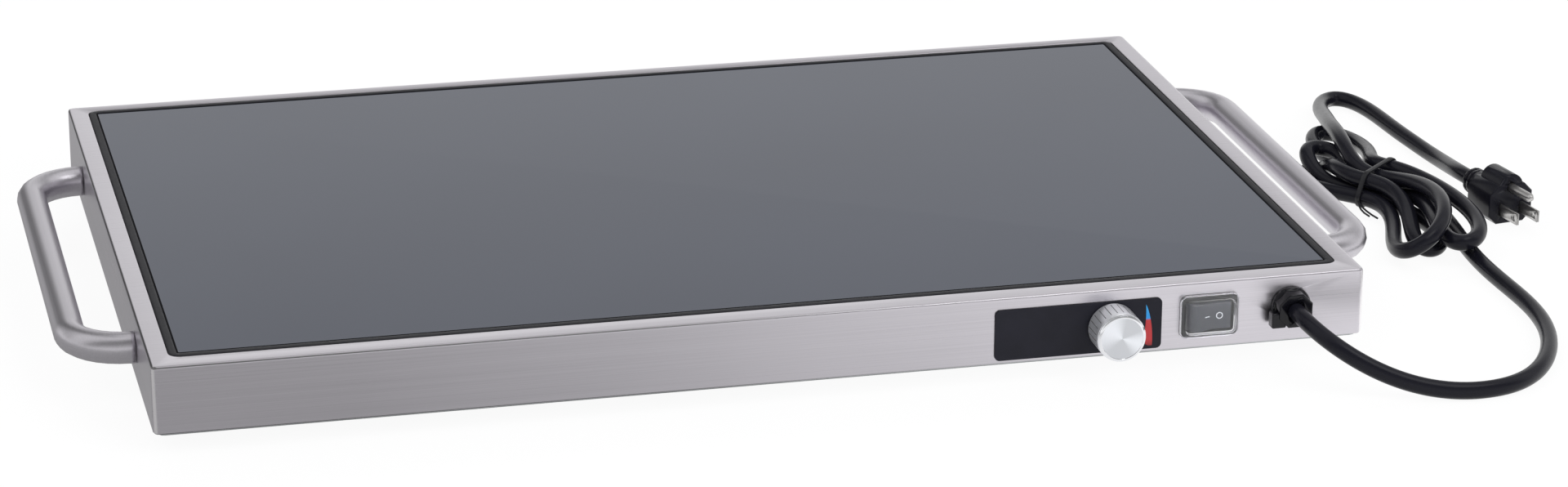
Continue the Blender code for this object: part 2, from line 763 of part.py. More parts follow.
def make_glass_ledge(finish):
    """The angle frame under the rim that carries the glass."""
    low = (LEFT_X + SHEET + SEAT_GAP, INNER_FRONT + SEAT_GAP)
    high = (INNER_RIGHT - SEAT_GAP, INNER_BACK - SEAT_GAP)
    corner = CORNER_RADIUS - SHEET - SEAT_GAP
    ledge = block("glass_ledge", (*low, LEDGE_LOW), (*high, RIM_UNDER - SEAT_GAP), finish, corner=corner)
    upper = block(
        "ledge_upper",
        (low[0] + LEDGE_THICKNESS, low[1] + LEDGE_THICKNESS, LEDGE_TOP),
        (high[0] - LEDGE_THICKNESS, high[1] - LEDGE_THICKNESS, RIM_UNDER + OVERRUN),
    )
    middle = block(
        "ledge_middle",
        (*opening_low(LEDGE_REACH), LEDGE_LOW - OVERRUN),
        (*opening_high(LEDGE_REACH), RIM_UNDER),
    )
    return cut(ledge, upper, middle)


# Heater stack


def pan_outer():
    """Low and high corner of the pan's flange, in X and Y."""
    low = (LEFT_X + SHEET + PAN_SIDE_ROOM, INNER_FRONT + CONTROL_BAY)
    high = (INNER_RIGHT - PAN_SIDE_ROOM, INNER_BACK - PAN_SIDE_ROOM)
    return low, high


def pan_inner(room=0.0):
    low, high = pan_outer()
    inset = PAN_FLANGE + PAN_SHEET + room
    return (low[0] + inset, low[1] + inset), (high[0] - inset, high[1] - inset)


def cutout_place():
    low, high = pan_inner()
    return high[0] - (high[0] - low[0]) * CUTOUT_X_SHARE, (low[1] + high[1]) / 2


def bulb_ends():
    low, _ = pan_inner()
    y = low[1] + BULB_SETBACK
    z = BLANKET_TOP - BULB_RADIUS - SEAT_GAP
    return Vector((KNOB_X - BULB_LENGTH, y, z)), Vector((KNOB_X, y, z))


def make_pan(finish):
    """A tray with a flange all round, one sheet bent and drawn."""
    low, high = pan_outer()
    bm = bmesh.new()
    bmesh.ops.create_grid(bm, x_segments=1, y_segments=1, size=0.5)
    size = Vector((high[0] - low[0], high[1] - low[1], 1.0))
    bmesh.ops.scale(bm, vec=size, verts=bm.verts)
    floor = bm.faces[:]
    bmesh.ops.inset_region(bm, faces=floor, thickness=PAN_FLANGE, use_even_offset=True)
    drawn = bmesh.ops.extrude_face_region(bm, geom=floor)
    moved = [item for item in drawn["geom"] if isinstance(item, bmesh.types.BMVert)]
    bmesh.ops.translate(bm, vec=(0, 0, PAN_LOW - PAN_RIM_TOP + PAN_SHEET), verts=moved)
    bmesh.ops.delete(bm, geom=floor, context="FACES_ONLY")
    bmesh.ops.recalc_face_normals(bm, faces=bm.faces)
    mesh = bpy.data.meshes.new("insulation_pan")
    bm.to_mesh(mesh)
    bm.free()
    pan = place("insulation_pan", mesh, finish)
    pan.location = ((low[0] + high[0]) / 2, (low[1] + high[1]) / 2, PAN_RIM_TOP)
    shell = pan.modifiers.new("sheet", "SOLIDIFY")
    shell.thickness = PAN_SHEET
    shell.offset = -1 if mesh.polygons[0].normal.z > 0 else 1
    shell.use_even_offset = True
    return pan


def make_blanket(finish):
    low, high = pan_inner(BLANKET_ROOM)
    blanket = block("insulation_blanket", (*low, BLANKET_LOW), (*high, BLANKET_TOP), finish)
    x, y = cutout_place()
    pocket = round_bar(
        "cutout_pocket",
        CUTOUT_RADIUS + SEAT_GAP,
        (x, y, BLANKET_LOW - OVERRUN),
        (x, y, BLANKET_TOP + OVERRUN),
    )
    start, end = bulb_ends()
    room = Vector((SEAT_GAP, SEAT_GAP + BULB_RADIUS, SEAT_GAP + BULB_RADIUS))
    groove = block("bulb_groove", start - room, end + room + Vector((0, 0, OVERRUN)))
    channel = block(
        "capillary_channel",
        (end.x - room.y, low[1] - OVERRUN, start.z - room.z),
        (end.x + SEAT_GAP, end.y, BLANKET_TOP + OVERRUN),
    )
    return cut(blanket, pocket, groove, channel)


def make_heating_mat(finish):
    low, high = pan_inner(BLANKET_ROOM)
    return block("heating_mat", (*low, MAT_LOW), (*high, MAT_TOP), finish, corner=MAT_CORNER)


def make_thermal_cutout(finish):
    """A snap disc thermostat pressed up against the mat."""
    x, y = cutout_place()
    top = MAT_LOW - SEAT_GAP
    low = PAN_FLOOR_TOP + SEAT_GAP
    cap = (top - low) / 2
    waist = CUTOUT_RADIUS - SHEET
    profile = [
        (0.0, top - low),
        (CUTOUT_RADIUS - SHEET, top - low),
        (CUTOUT_RADIUS, top - low - SHEET),
        (CUTOUT_RADIUS, cap),
        (waist, cap),
        (waist, 0.0),
        (0.0, 0.0),
    ]
    return smooth(turned("thermal_cutout", profile, finish, (x, y, low), steps=24))


def make_bulb(finish):
    start, end = bulb_ends()
    return round_bar("thermostat_bulb", BULB_RADIUS, start, end, finish, sides=16)


# Bottom


def foot_places():
    return around(BODY_WIDTH - 2 * FOOT_INSET, BODY_DEPTH - 2 * FOOT_INSET, (0.0, MID_Y))


def spacer_places():
    low, high = pan_inner()
    width, depth = (high[0] - low[0]) / 2, (high[1] - low[1]) / 2
    return around(width, depth, ((low[0] + high[0]) / 2, (low[1] + high[1]) / 2))


def make_base_plate(finish):
    inset = BASE_INSET
    plate = block(
        "base_plate",
        (LEFT_X + inset, FRONT_Y + inset, BASE_LOW),
        (RIGHT_X - inset, BACK_Y - inset, BASE_TOP),
        finish,
        corner=BASE_CORNER,
    )
    below, above = BASE_LOW - OVERRUN, BASE_TOP + OVERRUN
    for name, x, y in base_screw_places():
        hole = SCREW_RADIUS + SCREW_CLEARANCE
        cut(plate, round_bar(name + "_plate_hole", hole, (x, y, below), (x, y, above), sides=12))
    for name, x, y in foot_places():
        hole = FOOT_STEM_RADIUS + SEAT_GAP
        cut(plate, round_bar(name + "_stem_hole", hole, (x, y, below), (x, y, above), sides=16))
    for number in range(SLOT_COUNT):
        y = INNER_FRONT + CONTROL_BAY + FOOT_INSET + number * SLOT_PITCH
        for side in (-1, 1):
            x = side * BODY_WIDTH / 4
            slot = block(
                f"vent_slot_{number}_{side}",
                (x - SLOT_LENGTH / 2, y - SLOT_WIDTH / 2, below),
                (x + SLOT_LENGTH / 2, y + SLOT_WIDTH / 2, above),
                corner=SLOT_WIDTH * 0.49,
            )
            cut(plate, slot)
    return plate


def make_base_screws(finish):
    shank_top = BASE_LOW - SEAT_GAP + SCREW_LENGTH
    head_low = BASE_LOW - SEAT_GAP - SCREW_HEAD_HEIGHT
    total = shank_top - head_low
    dome = SCREW_HEAD_HEIGHT / 3
    profile = [
        (0.0, total),
        (SCREW_RADIUS - SEAT_GAP, total),
        (SCREW_RADIUS, total - SCREW_RADIUS),
        (SCREW_RADIUS, SCREW_HEAD_HEIGHT),
        (SCREW_HEAD_RADIUS, SCREW_HEAD_HEIGHT),
        (SCREW_HEAD_RADIUS, SCREW_HEAD_HEIGHT - dome),
        (SCREW_HEAD_RADIUS - dome, 0.0),
        (0.0, 0.0),
    ]
    for name, x, y in base_screw_places():
        smooth(turned(f"base_screw_{name}", profile, finish, (x, y, head_low), steps=12))


def make_feet(finish):
    """Rubber feet, pushed through the base plate and held by their barbs."""
    top = BASE_LOW - SEAT_GAP
    neck = BASE_TOP + SEAT_GAP
    barb = neck + FOOT_BARB_HEIGHT
    low_radius = FOOT_RADIUS - FOOT_TAPER
    profile = [
        (0.0, barb),
        (FOOT_STEM_RADIUS - FOOT_EDGE, barb),
        (FOOT_BARB_RADIUS, neck),
        (FOOT_STEM_RADIUS, neck),
        (FOOT_STEM_RADIUS, top),
        (FOOT_RADIUS, top),
        (low_radius, FOOT_EDGE),
        (low_radius - FOOT_EDGE, 0.0),
        (FOOT_RECESS_RADIUS, 0.0),
        (FOOT_RECESS_RADIUS, FOOT_RECESS_DEPTH),
        (0.0, FOOT_RECESS_DEPTH),
    ]
    for name, x, y in foot_places():
        smooth(turned(f"foot_{name}", profile, finish, (x, y, 0.0), steps=24))


def make_spacers(finish):
    """Spools between the base plate and the pan."""
    low = BASE_TOP + SEAT_GAP
    height = PAN_LOW - SEAT_GAP - low
    profile = [
        (0.0, height),
        (SPACER_RADIUS, height),
        (SPACER_RADIUS, SPACER_FOOT_HEIGHT),
        (SPACER_FOOT_RADIUS, SPACER_FOOT_HEIGHT),
        (SPACER_FOOT_RADIUS, 0.0),
        (0.0, 0.0),
    ]
    for name, x, y in spacer_places():
        smooth(turned(f"pan_spacer_{name}", profile, finish, (x, y, low), steps=16))


# Handles


def handle_route(side):
    """The middle line of a handle: leg, bend, grip, bend, leg."""
    wall = side * (BODY_WIDTH / 2 + SEAT_GAP)
    grip = side * (BODY_WIDTH / 2 + HANDLE_REACH)
    turn_x = grip - side * HANDLE_BEND
    front = MID_Y - HANDLE_SPAN / 2
    back = MID_Y + HANDLE_SPAN / 2
    steps = 8
    points = [(wall, front, HANDLE_Z)]
    for number in range(steps + 1):
        angle = math.pi / 2 * number / steps
        x = turn_x + side * HANDLE_BEND * math.sin(angle)
        points.append((x, front + HANDLE_BEND * (1 - math.cos(angle)), HANDLE_Z))
    for number in range(steps + 1):
        angle = math.pi / 2 * number / steps
        x = turn_x + side * HANDLE_BEND * math.cos(angle)
        points.append((x, back - HANDLE_BEND * (1 - math.sin(angle)), HANDLE_Z))
    points.append((wall, back, HANDLE_Z))
    return points


def make_handles(finish):
    for name, side in (("left_handle", -1), ("right_handle", 1)):
        handle = tube(name, handle_route(side), TUBE_RADIUS, finish, resolution=6)
        for leg_name, x, y in handle_leg_places():
            if x * side < 0:
                continue
            start = (x - side * OVERRUN, y, HANDLE_Z)
            end = (x + side * (BOLT_LENGTH + SEAT_GAP), y, HANDLE_Z)
            hole = BOLT_RADIUS + SCREW_CLEARANCE
            cut(handle, round_bar(leg_name + "_thread", hole, start, end, sides=12))


def make_handle_bolts(finish):
    """Hex bolts with their washers, from inside the side walls into the handle legs."""
    for name, x, y in handle_leg_places():
        side = math.copysign(1, x)
        washer_face = x - side * (SHEET + SEAT_GAP)
        head_face = washer_face - side * WASHER_HEIGHT
        head_end = head_face - side * BOLT_HEAD_HEIGHT
        bolt = round_bar(
            f"handle_bolt_{name}",
            BOLT_RADIUS,
            (head_face - side * BOLT_HEAD_HEIGHT / 2, y, HANDLE_Z),
            (x + side * BOLT_LENGTH, y, HANDLE_Z),
            finish,
            sides=12,
        )
        washer = round_bar(
            name + "_washer",
            WASHER_RADIUS,
            (head_face - side * WASHER_HEIGHT / 2, y, HANDLE_Z),
            (washer_face, y, HANDLE_Z),
            sides=20,
        )
        head = round_bar(name + "_head", BOLT_HEAD_RADIUS, (head_end, y, HANDLE_Z), (head_face, y, HANDLE_Z), sides=6)
        join(bolt, washer, head)


# Controls


def make_overlay(finish):
    face = FRONT_Y - SEAT_GAP
    overlay = block(
        "control_overlay",
        (OVERLAY_X - OVERLAY_WIDTH / 2, face - OVERLAY_THICKNESS, OVERLAY_Z - OVERLAY_HEIGHT / 2),
        (OVERLAY_X + OVERLAY_WIDTH / 2, face, OVERLAY_Z + OVERLAY_HEIGHT / 2),
        finish,
        corner=OVERLAY_CORNER,
        corner_axis=1,
        steps=4,
    )
    hole = NUT_ACROSS / 2 / math.cos(math.pi / 6) + SEAT_GAP
    return cut(overlay, round_bar("nut_window", hole, *through_front(KNOB_X, KNOB_Z, OVERRUN)))


def make_thermostat(finish):
    front = INNER_FRONT + SEAT_GAP
    body = block(
        "thermostat_body",
        (KNOB_X - THERMOSTAT_WIDTH / 2, front, KNOB_Z - THERMOSTAT_HEIGHT / 2),
        (KNOB_X + THERMOSTAT_WIDTH / 2, front + THERMOSTAT_DEPTH, KNOB_Z + THERMOSTAT_HEIGHT / 2),
        finish,
        corner=THERMOSTAT_EDGE,
        corner_axis=1,
        steps=2,
    )
    barrel = round_bar(
        "thermostat_barrel",
        BARREL_RADIUS,
        (KNOB_X, FRONT_Y - BARREL_LENGTH, KNOB_Z),
        (KNOB_X, front + THERMOSTAT_DEPTH / 4, KNOB_Z),
    )
    bore = round_bar(
        "thermostat_bore",
        SHAFT_RADIUS + RUNNING_GAP,
        (KNOB_X, FRONT_Y - BARREL_LENGTH - OVERRUN, KNOB_Z),
        (KNOB_X, shaft_inner_end() + SEAT_GAP, KNOB_Z),
    )
    join(body, barrel)
    return cut(body, bore)


def shaft_inner_end():
    return INNER_FRONT + SEAT_GAP + THERMOSTAT_DEPTH / 2


def make_thermostat_nut(finish):
    wall = FRONT_Y - SEAT_GAP
    nut = round_bar(
        "thermostat_nut",
        NUT_ACROSS / 2 / math.cos(math.pi / 6),
        (KNOB_X, wall - NUT_HEIGHT, KNOB_Z),
        (KNOB_X, wall, KNOB_Z),
        finish,
        sides=6,
    )
    hole = BARREL_RADIUS + SEAT_GAP
    return cut(nut, round_bar("nut_thread", hole, *through_front(KNOB_X, KNOB_Z, NUT_HEIGHT)))


def knob_back():
    return FRONT_Y - SEAT_GAP - OVERLAY_THICKNESS - KNOB_STAND_OFF


def knob_front():
    return knob_back() - KNOB_LENGTH


def d_bar(name, radius, flat, start_y, end_y, finish=None):
    """A bar along Y through the knob's axis, with a flat on its upper side."""
    bar = round_bar(name, radius, (KNOB_X, start_y, KNOB_Z), (KNOB_X, end_y, KNOB_Z), finish)
    low = KNOB_Z + radius - flat
    shave = block(
        name + "_flat",
        (KNOB_X - 2 * radius, min(start_y, end_y) - OVERRUN, low),
        (KNOB_X + 2 * radius, max(start_y, end_y) + OVERRUN, low + 2 * radius),
    )
    return cut(bar, shave)


def shaft_outer_end():
    return knob_front() + KNOB_FACE + SEAT_GAP + SHAFT_IN_KNOB / 6


def make_shaft(finish):
    """The thermostat's spindle: round in its barrel, a D in the knob."""
    shaft = round_bar(
        "thermostat_shaft",
        SHAFT_RADIUS,
        (KNOB_X, shaft_outer_end(), KNOB_Z),
        (KNOB_X, shaft_inner_end(), KNOB_Z),
        finish,
    )
    low = KNOB_Z + SHAFT_RADIUS - SHAFT_FLAT
    flat = block(
        "shaft_flat",
        (KNOB_X - 2 * SHAFT_RADIUS, shaft_outer_end() - OVERRUN, low),
        (KNOB_X + 2 * SHAFT_RADIUS, shaft_outer_end() + SHAFT_IN_KNOB, low + 2 * SHAFT_RADIUS),
    )
    return cut(shaft, flat)


def make_knob_shell(finish):
    """The turned aluminium cap, with grooves along its skirt."""
    inner = KNOB_RADIUS - KNOB_WALL
    face_radius = KNOB_RADIUS - KNOB_RING
    lip = KNOB_RING / 2
    profile = [
        (0.0, KNOB_LENGTH - KNOB_FACE_RECESS),
        (face_radius - lip, KNOB_LENGTH - KNOB_FACE_RECESS),
        (face_radius, KNOB_LENGTH),
        (face_radius + lip / 2, KNOB_LENGTH),
        (KNOB_RADIUS, KNOB_LENGTH - KNOB_RING_DEPTH),
        (KNOB_RADIUS, 0.0),
        (inner, 0.0),
        (inner, KNOB_LENGTH - KNOB_FACE),
        (0.0, KNOB_LENGTH - KNOB_FACE),
    ]
    at = (KNOB_X, knob_back(), KNOB_Z)
    shell = smooth(turned("knob_shell", profile, finish, at, facing=(0, -1, 0), steps=72))
    return cut(shell, make_groove_cutter(at))


def make_groove_cutter(at):
    """One mesh of thin bars, evenly round the knob's skirt."""
    bm = bmesh.new()
    length = KNOB_LENGTH - KNOB_RING_DEPTH - 2 * GROOVE_MARGIN
    for number in range(GROOVE_COUNT):
        made = bmesh.ops.create_cube(bm, size=1.0)["verts"]
        bmesh.ops.scale(bm, vec=(2 * GROOVE_DEPTH, GROOVE_WIDTH, length), verts=made)
        bmesh.ops.translate(bm, vec=(KNOB_RADIUS, 0, GROOVE_MARGIN + length / 2), verts=made)
        turn = Matrix.Rotation(math.tau * (number + 0.5) / GROOVE_COUNT, 3, "Z")
        bmesh.ops.rotate(bm, cent=(0, 0, 0), matrix=turn, verts=made)
    cutter = place("knob_grooves", mesh_of(bm, "knob_grooves"))
    cutter.location = at
    cutter.rotation_euler = Vector((0, -1, 0)).to_track_quat("Z", "Y").to_euler()
    return cutter


def make_knob_core(finish):
    """The moulded insert that grips the spindle and clears the nut behind it."""
    radius = KNOB_RADIUS - KNOB_WALL - SEAT_GAP
    length = KNOB_LENGTH - KNOB_FACE - SEAT_GAP
    hollow = NUT_ACROSS / 2 / math.cos(math.pi / 6) + NUT_ROOM
    nut_depth = BARREL_LENGTH - SEAT_GAP - OVERLAY_THICKNESS - KNOB_STAND_OFF + NUT_ROOM
    profile = [
        (0.0, length),
        (radius, length),
        (radius, 0.0),
        (hollow, 0.0),
        (hollow, nut_depth),
        (0.0, nut_depth),
    ]
    core = turned("knob_core", profile, finish, (KNOB_X, knob_back(), KNOB_Z), facing=(0, -1, 0), steps=36)
    smooth(core)
    start = shaft_outer_end() - SEAT_GAP
    bore = d_bar("knob_bore", SHAFT_RADIUS + SEAT_GAP, SHAFT_FLAT, start, FRONT_Y)
    return cut(core, bore)


def switch_block(name, width, height, near, far, finish=None, corner=0.0, steps=3, rims=()):
    """A block centred on the switch, from near to far in front of the wall's outer face."""
    return block(
        name,
        (SWITCH_X - width / 2, FRONT_Y - far, SWITCH_Z - height / 2),
        (SWITCH_X + width / 2, FRONT_Y - near, SWITCH_Z + height / 2),
        finish,
        corner=corner,
        corner_axis=1,
        steps=steps,
        rims=rims,
    )


def bezel_front():
    return SEAT_GAP + BEZEL_THICKNESS


def make_switch_body(finish):
    front = bezel_front()
    body = switch_block("switch_body", BEZEL_WIDTH, BEZEL_HEIGHT, SEAT_GAP, front, finish, corner=BEZEL_CORNER)
    rear = switch_block("switch_rear", SWITCH_BODY_WIDTH, SWITCH_BODY_HEIGHT, -SWITCH_BODY_DEPTH, front / 2)
    swing = ROCKER_BACK + ROCKER_END_RADIUS * math.sin(ROCKER_TRAVEL / 2)
    well_floor = front - PIVOT_DEPTH - swing - SEAT_GAP
    well = switch_block(
        "switch_well",
        2 * (ROCKER_END_RADIUS + SEAT_GAP),
        ROCKER_HEIGHT + 2 * SEAT_GAP,
        well_floor,
        front + OVERRUN,
    )
    pivot_y = FRONT_Y - front + PIVOT_DEPTH
    reach = ROCKER_HEIGHT / 2 + PIVOT_LENGTH + SEAT_GAP
    pivot = round_bar(
        "switch_pivot_hole",
        PIVOT_RADIUS + RUNNING_GAP,
        (SWITCH_X, pivot_y, SWITCH_Z - reach),
        (SWITCH_X, pivot_y, SWITCH_Z + reach),
        sides=16,
    )
    join(body, rear)
    return cut(body, well, pivot)


def rocker_outline():
    """The rocker from above, in its middle position, with the pivot at the origin and the front
    towards -Y: two facets that meet in a shallow V, and ends that are arcs about the pivot."""
    half = ROCKER_TRAVEL / 2
    middle = (PIVOT_DEPTH + ROCKER_PROUD) / math.cos(half)
    slope = math.tan(half)
    radius = ROCKER_END_RADIUS
    root = math.sqrt(radius**2 * (1 + slope**2) - middle**2)
    corner_x = (root - slope * middle) / (1 + slope**2)
    corner_angle = math.asin((middle + slope * corner_x) / radius)
    back_angle = -math.asin(ROCKER_BACK / radius)
    steps = 6
    end = []
    for number in range(steps + 1):
        angle = corner_angle + (back_angle - corner_angle) * number / steps
        end.append((radius * math.cos(angle), -radius * math.sin(angle)))
    other_end = [(-x, y) for x, y in reversed(end)]
    return [(0.0, -middle), *end, *other_end]


def make_rocker(finish):
    pivot_y = FRONT_Y - bezel_front() + PIVOT_DEPTH
    rocker = outline("switch_rocker", rocker_outline(), ROCKER_HEIGHT, finish)
    reach = ROCKER_HEIGHT / 2 + PIVOT_LENGTH
    pins = round_bar("rocker_pins", PIVOT_RADIUS, (0, 0, -reach), (0, 0, reach), sides=16)
    pins.location = (SWITCH_X, pivot_y, SWITCH_Z)
    rocker.location = (SWITCH_X, pivot_y, SWITCH_Z)
    rocker.rotation_euler = (0, 0, ROCKER_TRAVEL / 2)
    join(rocker, pins)
    return bevelled(rocker, ROCKER_EDGE, angle=math.radians(60))


def make_switch_tabs(finish):
    far = -SWITCH_BODY_DEPTH - SEAT_GAP
    for name, side in (("left", -1), ("right", 1)):
        x = SWITCH_X + side * TAB_SPACING / 2
        block(
            f"switch_tab_{name}",
            (x - TAB_THICKNESS / 2, FRONT_Y - far, SWITCH_Z - TAB_WIDTH / 2),
            (x + TAB_THICKNESS / 2, FRONT_Y - far + TAB_LENGTH, SWITCH_Z + TAB_WIDTH / 2),
            finish,
        )


def make_boot(finish):
    """The clear cover: a skirt that grips the bezel and a cap that clears the rocker."""
    skirt_width = BEZEL_WIDTH + 2 * (SEAT_GAP + BOOT_SKIN)
    skirt_height = BEZEL_HEIGHT + 2 * (SEAT_GAP + BOOT_SKIN)
    boot = switch_block(
        "switch_boot",
        skirt_width,
        skirt_height,
        SEAT_GAP,
        BOOT_SKIRT,
        finish,
        corner=BOOT_CORNER,
        steps=4,
        rims=((1, -1, BOOT_CAP_EDGE, 2),),
    )
    cap = switch_block(
        "boot_cap",
        BOOT_CAP_WIDTH,
        BOOT_CAP_HEIGHT,
        BOOT_SKIRT / 2,
        BOOT_DEPTH,
        corner=BOOT_CORNER,
        steps=4,
        rims=((1, -1, BOOT_CAP_EDGE, 2),),
    )
    skirt_room = switch_block(
        "boot_skirt_room",
        skirt_width - 2 * BOOT_SKIN,
        skirt_height - 2 * BOOT_SKIN,
        -OVERRUN,
        BOOT_SKIRT - BOOT_SKIN,
        corner=BOOT_CORNER - BOOT_SKIN,
    )
    cap_room = switch_block(
        "boot_cap_room",
        BOOT_CAP_WIDTH - 2 * BOOT_SKIN,
        BOOT_CAP_HEIGHT - 2 * BOOT_SKIN,
        SEAT_GAP,
        BOOT_DEPTH - BOOT_SKIN,
        corner=BOOT_CORNER - BOOT_SKIN,
    )
    join(boot, cap)
    return cut(boot, skirt_room, cap_room)


# Strain relief


def gland_front():
    """Y of the strain relief's front face."""
    return FRONT_Y - SEAT_GAP - GLAND_LENGTH


def make_strain_relief(finish):
    wall = FRONT_Y - SEAT_GAP
    profile = [
        (0.0, GLAND_FLANGE),
        (GLAND_RADIUS - GLAND_EDGE, GLAND_FLANGE),
        (GLAND_RADIUS, GLAND_FLANGE - GLAND_EDGE),
        (GLAND_RADIUS, 0.0),
        (GLAND_NECK_RADIUS, 0.0),
        (GLAND_NECK_RADIUS, -SHEET - 2 * SEAT_GAP),
        (GLAND_TAIL_RADIUS, -SHEET - 2 * SEAT_GAP),
        (GLAND_NECK_RADIUS, -SHEET - GLAND_TAIL_LENGTH),
        (0.0, -SHEET - GLAND_TAIL_LENGTH),
    ]
    gland = turned("strain_relief", profile, finish, (GLAND_X, wall, GLAND_Z), facing=(0, -1, 0), steps=32)
    smooth(gland)
    bm = bmesh.new()
    bmesh.ops.create_cone(
        bm,
        cap_ends=True,
        segments=8,
        radius1=GLAND_ACROSS / 2 / math.cos(math.pi / 8),
        radius2=GLAND_ACROSS / 2 / math.cos(math.pi / 8),
        depth=GLAND_LENGTH,
    )
    turn = Matrix.Rotation(math.pi / 8, 3, "Z")
    bmesh.ops.rotate(bm, cent=(0, 0, 0), matrix=turn, verts=bm.verts)
    geometry = rim_edges(bm, 2, 1)
    bmesh.ops.bevel(bm, geom=geometry, offset=GLAND_EDGE, segments=2, profile=0.5, affect="EDGES")
    head = place("gland_head", mesh_of(bm, "gland_head"))
    head.location = (GLAND_X, wall - GLAND_LENGTH / 2, GLAND_Z)
    head.rotation_euler = Vector((0, -1, 0)).to_track_quat("Z", "Y").to_euler()
    join(gland, head)
    mouth = gland_front()
    socket = round_bar(
        "gland_socket",
        CORD_RADIUS + SEAT_GAP,
        (GLAND_X, mouth - OVERRUN, GLAND_Z),
        (GLAND_X, mouth + GLAND_SOCKET_DEPTH, GLAND_Z),
    )
    low, high = wedge_corners(SEAT_GAP)
    return cut(gland, socket, block("wedge_slot", low, high))


def wedge_corners(room=0.0):
    """The corners of the locking wedge in the strain relief's left side."""
    left = GLAND_X - GLAND_ACROSS / 2 - WEDGE_OUT
    low = (left - room, gland_front() + GLAND_EDGE - room, GLAND_Z - GLAND_EDGE - WEDGE_HEIGHT - room)
    high = (
        left + WEDGE_WIDTH + room,
        FRONT_Y - SEAT_GAP - GLAND_FLANGE - SEAT_GAP + room,
        GLAND_Z - GLAND_EDGE + room,
    )
    return low, high


def make_strain_wedge(finish):
    low, high = wedge_corners()
    rims = ((1, -1, GLAND_EDGE, 2),)
    return block("strain_relief_wedge", low, high, finish, corner=GLAND_EDGE, corner_axis=1, steps=2, rims=rims)


# Wiring inside


def bezier(start, start_run, end, end_run, count):
    """Points on one cubic curve, with a handle at each end."""
    start, end = Vector(start), Vector(end)
    first = start + Vector(start_run)
    second = end + Vector(end_run)
    found = []
    for number in range(count + 1):
        t = number / count
        s = 1 - t
        found.append(s**3 * start + 3 * s * s * t * first + 3 * s * t * t * second + t**3 * end)
    return found


def wire(name, finish, start, start_run, end, end_run, count=12):
    return tube(name, bezier(start, start_run, end, end_run, count), WIRE_RADIUS, finish)


def block_place():
    return RIGHT_X - BLOCK_FROM_RIGHT, (INNER_FRONT + FLANGE_WIDTH + INNER_FRONT + CONTROL_BAY) / 2


def make_terminal_block(finish):
    x, y = block_place()
    low = BASE_TOP + SEAT_GAP
    top = low + BLOCK_HEIGHT
    body = block(
        "terminal_block",
        (x - BLOCK_WIDTH / 2, y - BLOCK_DEPTH / 2, low),
        (x + BLOCK_WIDTH / 2, y + BLOCK_DEPTH / 2, top),
        finish,
        corner=BLOCK_EDGE,
        steps=1,
    )
    for number in (-1, 0, 1):
        hole_x = x + number * BLOCK_WIDTH / 3
        start = (hole_x, y, top + OVERRUN)
        end = (hole_x, y, top - BLOCK_HOLE_DEPTH)
        cut(body, round_bar(f"block_hole_{number}", BLOCK_HOLE_RADIUS, start, end, sides=12))
    return body


def ground_place():
    return RIGHT_X - GROUND_FROM_RIGHT, block_place()[1]


def make_ground_screw(finish):
    x, y = ground_place()
    low = BASE_TOP + SEAT_GAP
    washer = round_bar(
        "ground_screw",
        GROUND_HEAD_RADIUS + WASHER_HEIGHT,
        (x, y, low),
        (x, y, low + WASHER_HEIGHT),
        finish,
        sides=20,
    )
    head = round_bar(
        "ground_head",
        GROUND_HEAD_RADIUS,
        (x, y, low + WASHER_HEIGHT / 2),
        (x, y, low + WASHER_HEIGHT + GROUND_HEAD_HEIGHT),
        sides=6,
    )
    return join(washer, head)


def make_wiring(red, white, green):
    """Mains wires from the strain relief to the switch, block and ground screw, and on to the mat."""
    tail = FRONT_Y + SHEET + GLAND_TAIL_LENGTH
    tab_end = FRONT_Y + SWITCH_BODY_DEPTH + SEAT_GAP + TAB_LENGTH + SEAT_GAP
    tab_left = (SWITCH_X - TAB_SPACING / 2, tab_end, SWITCH_Z)
    tab_right = (SWITCH_X + TAB_SPACING / 2, tab_end, SWITCH_Z)
    thermostat_back = INNER_FRONT + SEAT_GAP + THERMOSTAT_DEPTH + SEAT_GAP
    loop = (INNER_FRONT + CONTROL_BAY - tab_end) / 2
    wire(
        "live_wire",
        red,
        (GLAND_X, tail, GLAND_Z + WIRE_SPACING),
        (0, 2 * loop, 0),
        tab_right,
        (0, loop, 0),
    )
    wire(
        "switch_wire",
        red,
        tab_left,
        (0, loop, 0),
        (KNOB_X + THERMOSTAT_WIDTH / 4, thermostat_back, KNOB_Z),
        (0, 2 * loop, 0),
    )
    block_x, block_y = block_place()
    block_side = block_x + BLOCK_WIDTH / 2 + SEAT_GAP
    run = GLAND_X - block_side
    wire(
        "neutral_wire",
        white,
        (GLAND_X - WIRE_SPACING / 2, tail, GLAND_Z - WIRE_SPACING),
        (0, 2 * loop, 0),
        (block_side, block_y, BASE_TOP + BLOCK_HEIGHT / 2),
        (run / 2, 0, 0),
        count=20,
    )
    ground_x, ground_y = ground_place()
    ground_side = ground_y - GROUND_HEAD_RADIUS - SEAT_GAP
    wire(
        "ground_wire",
        green,
        (GLAND_X + WIRE_SPACING, tail, GLAND_Z),
        (0, loop / 2, 0),
        (ground_x, ground_side, BASE_TOP + SEAT_GAP + WASHER_HEIGHT + 2 * WIRE_RADIUS),
        (0, -loop / 2, 0),
    )


# Cord


def cord_lengths(points):
    """How far along a route each of its points is."""
    steps = np.linalg.norm(np.diff(points, axis=0), axis=1)
    return np.concatenate([[0.0], np.cumsum(steps)])


def in_diameters(point):
    """A place in the frame, in cord diameters from the foot of the strain relief."""
    return ((point[0] - GLAND_X) / CORD, (point[1] - FRONT_Y) / CORD, point[2] / CORD)


def in_frame(points):
    return [Vector((GLAND_X + CORD * x, FRONT_Y + CORD * y, CORD * z)) for x, y, z in points]


